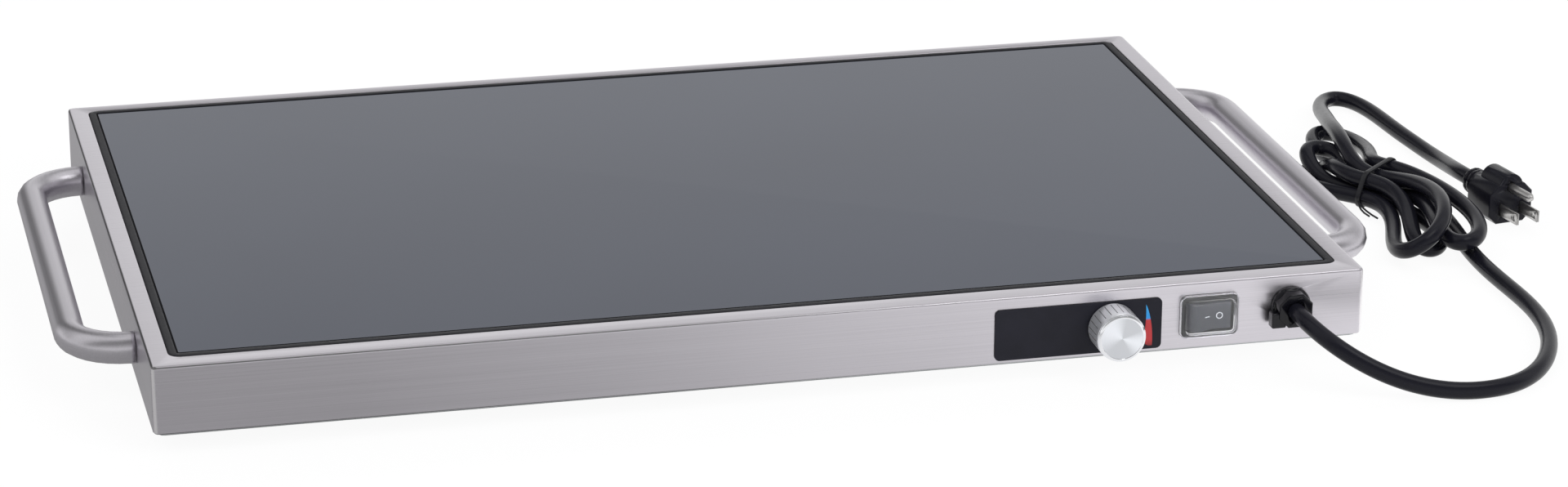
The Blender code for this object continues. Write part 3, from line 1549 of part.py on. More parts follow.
def cord_exit():
    """Where the cord starts, in the strain relief's socket."""
    return GLAND_X, gland_front() + GLAND_SOCKET_DEPTH - SEAT_GAP, GLAND_Z


def waist_slot(number):
    """The middle of one strand where the tie draws the hank in, in diameters."""
    across, height = SLOT_SHARES[number]
    heading = math.radians(WAIST_HEADING)
    x = WAIST_SHARES[0] - math.sin(heading) * across
    y = WAIST_SHARES[1] + math.cos(heading) * across
    return x, y, height


def along_waist(point, distance):
    heading = math.radians(WAIST_HEADING)
    x = point[0] + math.cos(heading) * distance
    return x, point[1] + math.sin(heading) * distance, point[2]


def loop_points(row):
    """One loop of the hank: out of the waist on one side of a bent line and back on the other."""
    way, start, end, tip, neck, side, fold, belly_out, belly_in, heights = row
    share = np.arange(LOOP_STEPS) / LOOP_STEPS
    reach = np.sin(np.pi * share)[:, None]
    waist = np.array(WAIST_SHARES)
    heading = math.radians(WAIST_HEADING)
    bend = waist + way * neck * np.array([math.cos(heading), math.sin(heading)])
    spine = (1 - reach) ** 2 * waist + 2 * reach * (1 - reach) * bend + reach**2 * np.array(tip)
    run = 2 * (1 - reach) * (bend - waist) + 2 * reach * (np.array(tip) - bend)
    run = run / np.linalg.norm(run, axis=1)[:, None]
    normal = way * np.column_stack([-run[:, 1], run[:, 0]])
    reach = reach[:, 0]
    blend = share**2 * (3 - 2 * share)
    slots = (1 - blend) * SLOT_SHARES[start][0] + blend * SLOT_SHARES[end][0]
    belly = np.where(share < 0.5, belly_out, -belly_in)
    across = slots * (1 - reach)
    bulge = 0.5 * math.sqrt(fold * math.dist(tip, WAIST_SHARES))
    across = across + side * bulge * np.sin(2 * np.pi * share) * reach**2
    across = across + side * belly * 4 * reach * (1 - reach)
    stations = (0.0, 0.14, 0.36, 0.64, 0.86, 1.0)
    levels = (SLOT_SHARES[start][1], *heights, SLOT_SHARES[end][1])
    height = np.interp(share, stations, levels)
    return np.column_stack([spine + normal * across[:, None], height])


def even_route(points, step):
    route = smooth_route(points, step)
    return np.array([tuple(point) for point in route])


def whole_cord():
    """The cord from the strain relief to the plug, and where its three stretches meet."""
    start = in_diameters(cord_exit())
    straight = (start[0], start[1] - 1.0, start[2])
    into = waist_slot("low_right")
    lead = even_route([start, straight, *LEAD_SHARES, along_waist(into, 1.3), into], CORD_STEP_SHARE)
    loops = [loop_points(row) for row in LOOPS]
    out = waist_slot("high_middle")
    neck = in_diameters(cord_end())
    axis = plug_axis()
    before = (neck[0] - axis[0], neck[1] - axis[1], neck[2])
    tail = even_route([out, along_waist(out, -1.0), *TAIL_SHARES, before, neck], CORD_STEP_SHARE)
    points = np.vstack([lead[:-1], *loops, tail])
    waists = [len(lead) - 1 + number * LOOP_STEPS for number in range(len(LOOPS) + 1)]
    pinned = np.zeros(len(points), bool)
    pinned[: len(lead) // 2] = True
    pinned[-len(tail) // 2 :] = True
    slots = ["low_right", *[row[2] for row in LOOPS]]
    ways = [*[row[0] for row in LOOPS], -1]
    for index, slot, way in zip(waists, slots, ways):
        pinned[index - 2 : index + 3] = True
        for step in range(-2, 3):
            points[index + step] = along_waist(waist_slot(slot), 0.5 * way * step)
    return settle(points, pinned), waists[0], waists[-1]


def settle(points, pinned):
    """Pushes strands that touch apart, little by little, and keeps them off the table."""
    start = points
    lengths = cord_lengths(points)
    neighbours = np.abs(lengths[:, None] - lengths[None, :]) < SETTLE_SKIP_SHARE
    free = ~pinned[:, None]
    for _ in range(SETTLE_ROUNDS):
        apart = points[:, None, :] - points[None, :, :]
        distance = np.linalg.norm(apart, axis=2)
        distance[neighbours] = 10 * SETTLE_SKIP_SHARE
        first, second = np.where(distance < CORD_PITCH_SHARE)
        push = np.zeros_like(points)
        hits = np.zeros(len(points))
        if len(first):
            near = distance[first, second][:, None]
            way = apart[first, second] / near * (1.0, 1.0, 1.6)
            way = way / np.linalg.norm(way, axis=1)[:, None]
            np.add.at(push, first, way * (CORD_PITCH_SHARE - near) * 0.4)
            np.add.at(hits, first, 1)
        push = push / np.maximum(hits, 1)[:, None] * free
        for _ in range(3):
            push[1:-1] = 0.25 * push[:-2] + 0.5 * push[1:-1] + 0.25 * push[2:]
        shift = points + push * free - start
        eased = shift.copy()
        eased[1:-1] = 0.25 * shift[:-2] + 0.5 * shift[1:-1] + 0.25 * shift[2:]
        points = start + shift + 0.3 * (eased - shift) * free
        points[:, 2] = np.maximum(points[:, 2], 0.5)
    return points


def least_gap(points):
    """The least gap between strands of a tube along points, in diameters."""
    start, run = points[:-1], np.diff(points, axis=0)
    lengths = cord_lengths(points)[:-1]
    least = math.inf
    for index in range(len(start)):
        others = np.where(lengths > lengths[index] + 3.0)[0]
        if not len(others):
            break
        least = min(least, segment_distance(start[index], run[index], start[others], run[others]))
    return least - 1.0


def segment_distance(point, run, points, runs):
    """The least distance from one segment to many."""
    offset = point - points
    own, other = run @ run, (runs * runs).sum(axis=1)
    cross, ahead, behind = runs @ run, offset @ run, (runs * offset).sum(axis=1)
    spread = own * other - cross**2
    first = np.clip((cross * behind - ahead * other) / np.maximum(spread, 1e-9), 0, 1)
    second = (cross * first + behind) / other
    first = np.where(second < 0, np.clip(-ahead / own, 0, 1), first)
    first = np.where(second > 1, np.clip((cross - ahead) / own, 0, 1), first)
    second = np.clip(second, 0, 1)
    between = offset + first[:, None] * run - second[:, None] * runs
    return np.linalg.norm(between, axis=1).min()


def trimmed(points, from_start, from_end):
    """A polyline with a little cut from its ends."""
    points = [np.array(point) for point in points]
    for end, amount in ((0, from_start), (-1, from_end)):
        inner = 1 if end == 0 else -2
        run = points[inner] - points[end]
        points[end] = points[end] + run / np.linalg.norm(run) * amount
    return points


def cord_stretches():
    """The cord's points and the three stretches drawn, which meet square in the waist."""
    points, first, last = whole_cord()
    into, out = waist_slot("low_right"), waist_slot("high_middle")
    lead = resample([Vector(p) for p in points[: first + 1]], LEAD_STEPS)
    lead[-1:] = [Vector(along_waist(into, 1.0)), lead[-1]]
    tail = resample([Vector(p) for p in points[last:]], TAIL_STEPS)
    tail[1] = Vector(along_waist(out, -1.0))
    hank = points[first : last + 1 : 2].copy()
    hank[1] = along_waist(into, -1.0)
    hank[-2] = along_waist(out, 1.0)
    return points, lead, hank, tail


def make_cord(finish):
    points, lead, hank, tail = cord_stretches()
    half_gap = SEAT_GAP / 2 / CORD
    tube("cord_lead", in_frame(trimmed(lead, 0, half_gap)), CORD_RADIUS, finish)
    tube("cord_tail", in_frame(trimmed(tail, half_gap, 0)), CORD_RADIUS, finish)
    tube("cord_hank", in_frame(trimmed(hank, half_gap, half_gap)), CORD_RADIUS, finish, resolution=1)
    drawn = np.vstack([[tuple(p) for p in lead[:-1]], hank, [tuple(p) for p in tail[1:]]])
    print(f"cord: {cord_lengths(points)[-1] * CORD:.3f} m long, least gap {least_gap(drawn) * CORD / MM:.2f} mm")


def hull(points):
    """The convex hull of points in a plane, anticlockwise."""
    ordered = sorted(points)
    found = []
    for line in (ordered, ordered[::-1]):
        chain = []
        for point in line:
            while len(chain) > 1 and turn_of(chain[-2], chain[-1], point) <= 0:
                chain.pop()
            chain.append(point)
        found += chain[:-1]
    return found


def turn_of(a, b, c):
    return (b[0] - a[0]) * (c[1] - a[1]) - (b[1] - a[1]) * (c[0] - a[0])


def make_cord_tie(finish):
    """A wire tie drawn round the strands at the waist."""
    reach = 0.5 + (TIE_RADIUS + TIE_GAP) / CORD
    around_strands = []
    for across, height in SLOT_SHARES.values():
        for number in range(24):
            angle = math.tau * number / 24
            around_strands.append((across + reach * math.cos(angle), height + reach * math.sin(angle)))
    ring = [Vector((*point, 0.0)) for point in hull(around_strands)]
    ring = resample([*ring, ring[0]], TIE_STEPS)[:-1]
    heading = math.radians(WAIST_HEADING)
    placed = []
    for point in ring:
        x = WAIST_SHARES[0] - math.sin(heading) * point.x
        placed.append((x, WAIST_SHARES[1] + math.cos(heading) * point.x, point.y))
    curve = bpy.data.curves.new("cord_tie", "CURVE")
    curve.dimensions = "3D"
    curve.bevel_depth = TIE_RADIUS
    curve.bevel_resolution = 1
    spline = curve.splines.new("POLY")
    spline.points.add(len(placed) - 1)
    for point, place_at in zip(spline.points, in_frame(placed)):
        point.co = (*place_at, 1)
    spline.use_cyclic_u = True
    return curve_to_mesh("cord_tie", curve, finish)


# Plug


def plug_axis():
    """The way the plug's blades point, level."""
    angle = math.radians(PLUG_HEADING)
    return math.cos(angle), math.sin(angle)


def plug_point(forward, aside=0.0, height=0.0):
    """A place on the plug: forward of its neck's end, to its left and above the table."""
    x, y, _ = in_frame([(*PLUG_NECK_SHARES, 0.0)])[0]
    ahead = plug_axis()
    return (
        x + ahead[0] * forward - ahead[1] * aside,
        y + ahead[1] * forward + ahead[0] * aside,
        height,
    )


def cord_end():
    """Where the cord stops, in the plug's neck."""
    return plug_point(-SEAT_GAP, 0.0, PLUG_CORD_HEIGHT)


def plug_box(name, near, far, width, low, high, finish=None, corner=0.0, steps=2, rims=()):
    obj = block(name, (near, -width / 2, low), (far, width / 2, high), finish, corner, 0, steps, rims)
    middle = plug_point((near + far) / 2, 0.0, (low + high) / 2)
    obj.location = middle
    obj.rotation_euler = (0, 0, math.radians(PLUG_HEADING))
    return obj


def make_plug(finish):
    """The moulded plug: a ribbed neck, a faceted body and a boss round the ground pin."""
    body = plug_box(
        "plug_body",
        PLUG_NECK_LENGTH - PLUG_OVERLAP,
        PLUG_LENGTH,
        PLUG_WIDTH,
        PLUG_LOW,
        PLUG_HIGH,
        finish,
        corner=PLUG_FACET,
        steps=1,
        rims=((0, -1, PLUG_SHOULDER, 1), (0, 1, PLUG_EDGE, 1)),
    )
    height = PLUG_CORD_HEIGHT
    neck = round_bar(
        "plug_neck",
        PLUG_NECK_RADIUS,
        plug_point(0.0, 0.0, height),
        plug_point(PLUG_NECK_LENGTH, 0.0, height + PLUG_NECK_RISE),
        end_radius=PLUG_NECK_RADIUS + PLUG_NECK_FLARE,
        sides=20,
    )
    boss_start = PLUG_LENGTH - PLUG_BOSS_LENGTH
    boss = round_bar(
        "plug_boss",
        PLUG_BOSS_RADIUS,
        plug_point(boss_start, 0.0, PLUG_GROUND_HEIGHT),
        plug_point(PLUG_LENGTH - PLUG_EDGE, 0.0, PLUG_GROUND_HEIGHT),
        sides=24,
    )
    join(body, neck, boss)
    for number in range(PLUG_RIB_COUNT):
        start = PLUG_RIB_START + number * PLUG_RIB_PITCH
        rib = round_bar(
            f"plug_rib_{number}",
            PLUG_RIB_RADIUS,
            plug_point(start, 0.0, height),
            plug_point(start + PLUG_RIB_WIDTH, 0.0, height),
            sides=20,
        )
        join(body, rib)
    socket = SEAT_GAP
    for name, aside in (("left", 1), ("right", -1)):
        slot = plug_box(
            f"blade_slot_{name}",
            PLUG_LENGTH - BLADE_ROOT - socket,
            PLUG_LENGTH + OVERRUN,
            BLADE_THICKNESS + 2 * socket,
            BLADE_Z - BLADE_HEIGHT / 2 - socket,
            BLADE_Z + BLADE_HEIGHT / 2 + socket,
        )
        shift_aside(slot, aside * BLADE_SPACING / 2)
        cut(body, slot)
    bore = round_bar(
        "ground_bore",
        GROUND_PIN_RADIUS + socket,
        plug_point(PLUG_LENGTH - BLADE_ROOT - socket, 0.0, PLUG_GROUND_HEIGHT),
        plug_point(PLUG_LENGTH + OVERRUN, 0.0, PLUG_GROUND_HEIGHT),
        sides=16,
    )
    return cut(body, bore)


def shift_aside(obj, distance):
    ahead = plug_axis()
    obj.location.x -= ahead[1] * distance
    obj.location.y += ahead[0] * distance


def make_blades(finish):
    for name, aside in (("left", 1), ("right", -1)):
        blade = plug_box(
            f"plug_blade_{name}",
            PLUG_LENGTH - BLADE_ROOT,
            PLUG_LENGTH + BLADE_LENGTH,
            BLADE_THICKNESS,
            BLADE_Z - BLADE_HEIGHT / 2,
            BLADE_Z + BLADE_HEIGHT / 2,
            finish,
        )
        shift_aside(blade, aside * BLADE_SPACING / 2)
        far = PLUG_LENGTH + BLADE_LENGTH - BLADE_HOLE_BACK
        hole = round_bar(
            f"blade_hole_{name}",
            BLADE_HOLE_RADIUS,
            plug_point(far, aside * BLADE_SPACING / 2 - OVERRUN, BLADE_Z),
            plug_point(far, aside * BLADE_SPACING / 2 + OVERRUN, BLADE_Z),
            sides=12,
        )
        cut(blade, hole)


def make_ground_pin(finish):
    tip = PLUG_LENGTH + GROUND_PIN_LENGTH
    profile = [
        (0.0, tip),
        (GROUND_PIN_RADIUS / 2, tip - GROUND_PIN_RADIUS / 6),
        (GROUND_PIN_RADIUS, tip - GROUND_PIN_RADIUS),
        (GROUND_PIN_RADIUS, PLUG_LENGTH - BLADE_ROOT),
        (0.0, PLUG_LENGTH - BLADE_ROOT),
    ]
    facing = (*plug_axis(), 0.0)
    at = plug_point(0.0, 0.0, PLUG_GROUND_HEIGHT)
    return smooth(turned("plug_ground_pin", profile, finish, at, facing=facing, steps=20))


def make_all():
    finishes = make_materials()
    make_housing(finishes["stainless"])
    make_glass(finishes["glass"])
    make_glass_seal(finishes["silicone"])
    make_glass_ledge(finishes["galvanised"])
    make_pan(finishes["galvanised"])
    make_blanket(finishes["fibre"])
    make_heating_mat(finishes["mat"])
    make_thermal_cutout(finishes["zinc"])
    make_bulb(finishes["copper"])
    make_base_plate(finishes["galvanised"])
    make_base_screws(finishes["zinc"])
    make_feet(finishes["rubber"])
    make_spacers(finishes["zinc"])
    make_handles(finishes["stainless"])
    make_handle_bolts(finishes["zinc"])
    make_overlay(finishes["overlay"])
    make_thermostat(finishes["ceramic"])
    make_thermostat_nut(finishes["zinc"])
    make_shaft(finishes["zinc"])
    make_knob_shell(finishes["aluminium"])
    make_knob_core(finishes["black_plastic"])
    make_switch_body(finishes["black_plastic"])
    make_rocker(finishes["black_plastic"])
    make_switch_tabs(finishes["brass"])
    make_boot(finishes["clear"])
    make_strain_relief(finishes["black_plastic"])
    make_strain_wedge(finishes["black_plastic"])
    make_terminal_block(finishes["ceramic"])
    make_ground_screw(finishes["zinc"])
    make_wiring(finishes["wire_red"], finishes["wire_white"], finishes["wire_green"])
    make_cord(finishes["rubber"])
    make_cord_tie(finishes["black_plastic"])
    make_plug(finishes["rubber"])
    make_blades(finishes["brass"])
    make_ground_pin(finishes["brass"])


clear_scene()
PARTS = make_collection("heated_shelf_food_warmer")
CUTTERS = make_collection("cutters")
make_all()
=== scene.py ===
"""Looks of a countertop heated shelf: a dark glass top in a brushed steel tray, two tube handles,
a thermostat knob, a booted rocker switch and a mains cord tied up in a hank.

Metres, +Z up, the table at z = 0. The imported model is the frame, and every piece here sits on it.
"""

import math

import bmesh
import bpy
import numpy as np
from mathutils import Matrix, Vector


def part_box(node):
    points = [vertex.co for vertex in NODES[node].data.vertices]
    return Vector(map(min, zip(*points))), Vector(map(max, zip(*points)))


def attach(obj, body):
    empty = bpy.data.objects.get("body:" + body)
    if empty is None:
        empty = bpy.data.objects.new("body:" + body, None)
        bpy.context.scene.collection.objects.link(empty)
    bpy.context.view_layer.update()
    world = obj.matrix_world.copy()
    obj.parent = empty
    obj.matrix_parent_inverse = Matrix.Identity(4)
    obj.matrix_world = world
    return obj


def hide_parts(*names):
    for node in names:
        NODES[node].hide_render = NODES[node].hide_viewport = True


MM = 0.001

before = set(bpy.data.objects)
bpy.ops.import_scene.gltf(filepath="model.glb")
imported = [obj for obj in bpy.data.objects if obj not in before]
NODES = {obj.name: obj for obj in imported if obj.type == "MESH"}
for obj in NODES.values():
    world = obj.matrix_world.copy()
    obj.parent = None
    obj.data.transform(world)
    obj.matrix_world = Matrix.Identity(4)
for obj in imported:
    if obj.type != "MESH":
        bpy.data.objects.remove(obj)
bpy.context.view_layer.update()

# Places read from the frame
HOUSING_LOW, HOUSING_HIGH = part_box("housing")
BODY_MIDDLE = (HOUSING_LOW + HOUSING_HIGH) / 2
FRONT_Y = HOUSING_LOW.y
KNOB_LOW, KNOB_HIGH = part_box("knob_shell")
KNOB_MIDDLE = (KNOB_LOW + KNOB_HIGH) / 2
OVERLAY_LOW, OVERLAY_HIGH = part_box("control_overlay")
ROCKER_LOW, ROCKER_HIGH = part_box("switch_rocker")
GLAND_LOW, GLAND_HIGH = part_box("strain_relief")
GLAND_X = (GLAND_LOW.x + GLAND_HIGH.x) / 2
GLAND_Z = (GLAND_LOW.z + GLAND_HIGH.z) / 2

# Camera: turned and lifted as in the photograph, about the middle of the tray
CAMERA_AZIMUTH = -13.7515
CAMERA_ELEVATION = 19.8118
CAMERA_ROLL = 0.2719
CAMERA_PLACE = (-0.5081, -2.2952, 0.8585)  # from the middle of the tray's footprint
CAMERA_LENS = 108.11
SENSOR_WIDTH = 36.0

# Cord. Its tables are in cord diameters: X, Y and height from the table under the strain relief
CORD_RADIUS = 4.4 * MM
CORD = 2 * CORD_RADIUS
GLAND_SOCKET_DEPTH = 2.0 * MM
SEAT_GAP = 0.3 * MM
CORD_PITCH_SHARE = 1.15
CORD_STEP_SHARE = 0.5
LOOP_STEPS = 48
SETTLE_ROUNDS = 420
SETTLE_SKIP_SHARE = 3.0  # strands nearer than this along the cord never push each other
SETTLE_PUSH = 0.4
SETTLE_LIFT = 1.6  # how much more a strand is pushed up or down than aside
SETTLE_EASE = 0.3
PUSH_BLURS = 3
FAIR_ROUNDS = 24
FAIR_PITCH_SHARE = 1.06
FAIR_STIFFNESS = 4.0
FAIR_PUSH = 0.6
FAIR_HOLD = 1000.0  # the weight of a held point against a free one's 1
ROUTE_PARTS = 8
LOOP_STATIONS = (0.0, 0.14, 0.36, 0.64, 0.86, 1.0)  # on the way round, where a height is given
WAIST_SHARES = (14.39, 24.33)
WAIST_HEADING = -52.3  # degrees, along the strands towards the controls' side
SLOT_SHARES = {  # across the waist, height
    "low_left": (-1.68, 0.79),
    "low_mid_left": (-0.56, 0.79),
    "low_mid_right": (0.56, 0.79),
    "low_right": (1.68, 0.79),
    "high_left": (-1.12, 1.76),
    "high_middle": (0.00, 1.76),
    "high_right": (1.45, 1.96),
}
# way, slots out and in, tip, neck, side, fold radius, belly out and in, heights on the way round
LOOPS = (
    (-1, "low_right", "high_right", (15.45, 36.82), 3.41, -1, 1.25, 0.0, 1.02, (0.50, 0.50, 0.50, 1.59)),
    (1, "high_right", "low_mid_right", (15.34, 12.05), 3.86, 1, 1.14, 0.57, 0.0, (1.82, 1.61, 1.14, 0.68)),
    (-1, "low_mid_right", "low_mid_left", (12.61, 30.68), 3.18, 1, 1.02, 0.0, 0.0, (0.52, 1.45, 1.45, 0.52)),
    (1, "low_mid_left", "high_left", (13.98, 13.98), 4.09, 1, 1.25, 0.0, 0.0, (0.50, 0.50, 0.50, 0.91)),
    (-1, "high_left", "low_left", (12.27, 29.43), 2.95, 1, 1.14, 0.0, 0.0, (1.08, 0.50, 0.50, 0.50)),
    (1, "low_left", "high_middle", (12.39, 12.16), 4.77, -1, 1.36, 0.0, 0.11, (0.50, 0.50, 1.36, 2.39)),
)
LEAD_SHARES = (
    (0.17, -3.64, 3.07),
    (1.02, -5.23, 2.50),
    (2.50, -6.31, 1.65),
    (4.32, -7.16, 0.91),
    (6.14, -7.95, 0.52),
    (7.95, -8.47, 0.50),
    (9.77, -8.35, 0.50),
    (11.48, -7.44, 0.50),
    (13.30, -5.34, 0.50),
    (14.77, -2.95, 0.50),
    (15.74, -0.11, 0.50),
    (16.25, 3.07, 0.50),
    (16.25, 5.80, 0.50),
    (16.08, 8.64, 0.50),
    (16.02, 10.80, 0.50),
    (15.97, 13.07, 0.50),
    (16.02, 15.45, 0.50),
    (16.36, 17.73, 0.50),
    (16.70, 20.11, 0.50),
    (16.70, 22.39, 0.52),
)
TAIL_SHARES = (
    (13.92, 26.25, 2.22),
    (13.81, 28.41, 2.56),
    (14.06, 31.10, 2.33),
    (14.66, 33.86, 1.87),
    (15.45, 36.65, 1.59),
    (15.91, 38.18, 1.19),
    (16.36, 39.77, 0.82),
    (16.78, 41.24, 0.57),
    (17.24, 42.68, 0.50),
    (17.83, 43.76, 0.50),
    (18.52, 44.15, 0.50),
    (19.15, 43.81, 0.50),
    (19.60, 42.50, 0.50),
    (19.83, 40.11, 0.50),
    (20.11, 36.70, 0.50),
    (20.40, 33.30, 0.50),
    (20.60, 30.34, 0.52),
    (20.60, 27.84, 0.82),
    (20.39, 25.68, 1.25),
)
TIE_GAP = 0.15 * MM
TIE_STEPS = 96
TIE_SECTION = ((-1.5, 0.1), (-1.4, 0.9), (0.0, 1.15), (1.4, 0.9), (1.5, 0.1), (0.0, 0.0))  # mm
TIE_TAIL_RADIUS = 0.55 * MM
TIE_ROUND_STEPS = 36
TIE_LOWEST = 0.03
TIE_ENDS = (("cord_tie_end_long", 0.35), ("cord_tie_end_short", -0.25))  # and how far each sways
# out from the waist's middle, along, height and share of the sway
TIE_END_PLACES = (
    (-2.15, 0.0, 0.75, 0.0),
    (-2.6, 0.3, 0.62, 0.0),
    (-3.0, 0.9, 0.4, 1.0),
    (-3.1, 1.7, 0.25, 1.0),
)

# Plug
PLUG_NECK_SHARES = (20.36, 23.33)
PLUG_HEADING = -80.0
PLUG_CORD_HEIGHT = 12.5 * MM


# Materials


def grey(value):
    return (value, value, value, 1.0) if isinstance(value, float) else value


class Nodes:
    """A short way to write a material's node tree."""

    def __init__(self, tree):
        self.tree = tree
        tree.nodes.clear()

    def add(self, kind, inputs=None, **settings):
        node = self.tree.nodes.new(kind)
        for name, value in settings.items():
            setattr(node, name, value)
        for name, value in (inputs or {}).items():
            if isinstance(value, bpy.types.NodeSocket):
                self.tree.links.new(value, node.inputs[name])
            else:
                node.inputs[name].default_value = value
        return node

    def math(self, operation, a, b=0.0, clamp=False):
        node = self.add("ShaderNodeMath", {0: a, 1: b}, operation=operation, use_clamp=clamp)
        return node.outputs[0]

    def noise(self, place, scale, detail=3.0, roughness=0.5):
        inputs = {"Vector": place, "Scale": scale, "Detail": detail, "Roughness": roughness}
        return self.add("ShaderNodeTexNoise", inputs).outputs["Fac"]

    def ramp(self, value, *stops):
        """A colour ramp; a stop is (place, colour or grey)."""
        node = self.add("ShaderNodeValToRGB", {"Fac": value})
        elements = node.color_ramp.elements
        while len(elements) < len(stops):
            elements.new(0.5)
        for element, (place, colour) in zip(elements, stops):
            element.position = place
            colour = (colour,) * 3 if isinstance(colour, float) else colour
            element.color = (*colour, 1.0)
        return node.outputs["Color"]

    def blend(self, share, first, second):
        """Two colours or greys mixed, each plain or linked."""
        inputs = {"Factor": share, 6: grey(first), 7: grey(second)}
        return self.add("ShaderNodeMix", inputs, data_type="RGBA").outputs[2]

    def span(self, value, low, high, to_low=0.0, to_high=1.0):
        """A value running from low to high, turned smoothly into one from to_low to to_high."""
        inputs = {"Value": value, "From Min": low, "From Max": high, "To Min": to_low, "To Max": to_high}
        kind = {"interpolation_type": "SMOOTHSTEP"}
        return self.add("ShaderNodeMapRange", inputs, **kind).outputs["Result"]

    def spread(self, value, low, high):
        """A value from 0 to 1 turned into one from low to high."""
        inputs = {"Value": value, "To Min": low, "To Max": high}
        return self.add("ShaderNodeMapRange", inputs).outputs["Result"]

    def place(self, scale=(1.0, 1.0, 1.0)):
        where = self.add("ShaderNodeTexCoord").outputs["Object"]
        return self.add("ShaderNodeMapping", {"Vector": where, "Scale": scale}).outputs["Vector"]

    def bump(self, height, strength, distance):
        inputs = {"Height": height, "Strength": strength, "Distance": distance}
        return self.add("ShaderNodeBump", inputs).outputs["Normal"]


def new_material(name):
    material = bpy.data.materials.new(name)
    material.use_nodes = True
    return material, Nodes(material.node_tree)


def close_material(nodes, inputs):
    shader = nodes.add("ShaderNodeBsdfPrincipled", inputs)
    nodes.add("ShaderNodeOutputMaterial", {"Surface": shader.outputs["BSDF"]})


def plain_finish(name, colour, roughness, metallic=0.0, scale=900.0, depth=0.03, tint=0.12, **more):
    """A moulded, cast or woven surface: small mottling of colour, gloss and relief."""
    material, nodes = new_material(name)
    place = nodes.place()
    fine = nodes.noise(place, scale, 4.0)
    wide = nodes.noise(place, scale / 30, 3.0)
    low = tuple(c * (1 - tint) for c in colour)
    high = tuple(min(1.0, c * (1 + tint)) for c in colour)
    inputs = {
        "Base Color": nodes.ramp(wide, (0.3, low), (0.7, high)),
        "Roughness": nodes.spread(fine, roughness * 0.82, min(1.0, roughness * 1.18)),
        "Metallic": metallic,
        "Normal": nodes.bump(fine, 0.35, depth * MM),
        **more,
    }
    close_material(nodes, inputs)
    return material


RIM_SHADE_FULL = -0.08  # across the body, where the painted shade along the rim starts to fade
RIM_SHADE_FAINT = 0.14
RIM_SHADE_SHARES = (0.9, 0.2)
RIM_SHADE_LEVEL = 0.16


def paint_rim_shade_and_corner_light(nodes, shade):
    """Painted shade: steel coloured darker along its bent rim, most on the left, and a painted highlight,
    lighter down its vertical corners.
    """
    facing = nodes.add("ShaderNodeNewGeometry").outputs["Normal"]
    sides = nodes.add("ShaderNodeSeparateXYZ", {"Vector": facing}).outputs
    x, y, z = (nodes.math("ABSOLUTE", sides[axis]) for axis in "XYZ")
    most = nodes.math("MAXIMUM", nodes.math("MAXIMUM", x, y), z)
    bent = nodes.span(nodes.math("SUBTRACT", 1.0, most), 0.02, 0.18)
    upright = nodes.span(z, 0.25, 0.10)
    # Painted highlight: lighter colour down the vertical rounded corners.
    shade = nodes.blend(nodes.math("MULTIPLY", bent, upright), shade, (1.0, 0.98, 1.0, 1.0))
    # Painted shade: darker colour along the rounded rim, fading from left to right.
    rim = nodes.math("MULTIPLY", bent, nodes.math("SUBTRACT", 1.0, upright))
    across = nodes.add("ShaderNodeSeparateXYZ", {"Vector": nodes.place()}).outputs["X"]
    rim_shade_fade = nodes.span(across, RIM_SHADE_FULL, RIM_SHADE_FAINT, *RIM_SHADE_SHARES)
    return nodes.blend(nodes.math("MULTIPLY", rim, rim_shade_fade), shade, RIM_SHADE_LEVEL)


STEEL_STREAK = 0.06
GRAIN_FAST = 1500.0
GRAIN_SLOW = 3.0


def steel_finish(name, colour, grain, roughness=(0.24, 0.34), edges=False):
    """Brushed steel. The grain runs along X on the front, back and top, and along Y on the ends."""
    material, nodes = new_material(name)
    fast, slow = GRAIN_FAST, GRAIN_SLOW
    along_x = nodes.noise(nodes.place((slow, fast, fast)), 1.0, 5.0, 0.62)
    along_y = nodes.noise(nodes.place((fast, slow, fast)), 1.0, 5.0, 0.62)
    facing = nodes.add("ShaderNodeNewGeometry").outputs["True Normal"]
    sides = nodes.add("ShaderNodeSeparateXYZ", {"Vector": facing}).outputs["X"]
    ends = nodes.math("GREATER_THAN", nodes.math("ABSOLUTE", sides), 0.7)
    if grain == "y":
        ends = nodes.math("ADD", ends, 1.0, clamp=True)
    mixed = nodes.add("ShaderNodeMix", {"Factor": ends, "A": along_x, "B": along_y}).outputs["Result"]
    wide = nodes.noise(nodes.place(), 9.0, 2.0)
    tone = nodes.math("ADD", nodes.math("MULTIPLY", mixed, 0.75), nodes.math("MULTIPLY", wide, 0.25))
    low = tuple(c * (1 - STEEL_STREAK) for c in colour)
    high = tuple(min(1.0, c * (1 + STEEL_STREAK)) for c in colour)
    shade = nodes.ramp(tone, (0.35, low), (0.65, high))
    # Painted shade along the rim and a painted highlight down the corners.
    if edges:
        shade = paint_rim_shade_and_corner_light(nodes, shade)
    inputs = {
        "Base Color": shade,
        "Metallic": 1.0,
        "Roughness": nodes.spread(mixed, *roughness),
        "Normal": nodes.bump(mixed, 0.16, 0.03 * MM),
    }
    close_material(nodes, inputs)
    return material


def glass_finish():
    """Tinted ceramic glass seen from above: nearly black body, a clear even reflection."""
    material, nodes = new_material("dark_ceramic_glass")
    place = nodes.place()
    haze = nodes.noise(place, 6.0, 3.0)
    inputs = {
        "Base Color": nodes.ramp(haze, (0.3, (0.014, 0.019, 0.036)), (0.7, (0.017, 0.023, 0.042))),
        "Roughness": nodes.spread(haze, 0.045, 0.075),
        "IOR": 1.5,
        "Specular IOR Level": 0.45,
        "Specular Tint": (0.82, 0.87, 1.0, 1.0),
        "Normal": nodes.bump(nodes.noise(place, 30.0, 2.0), 0.02, 0.05 * MM),
    }
    close_material(nodes, inputs)
    return material


SPUN_RINGS = 1600.0
SHEEN_FAN_TURN = 2.5
SHEEN_FAN_SKEW = 0.7  # how unequal the two painted bright sectors are
SHEEN_AND_RING_SHARES = (0.42, 0.30)  # of the painted sheen fan and of the fine rings in the tone
SPUN_RANGE = (0.80, 1.16)


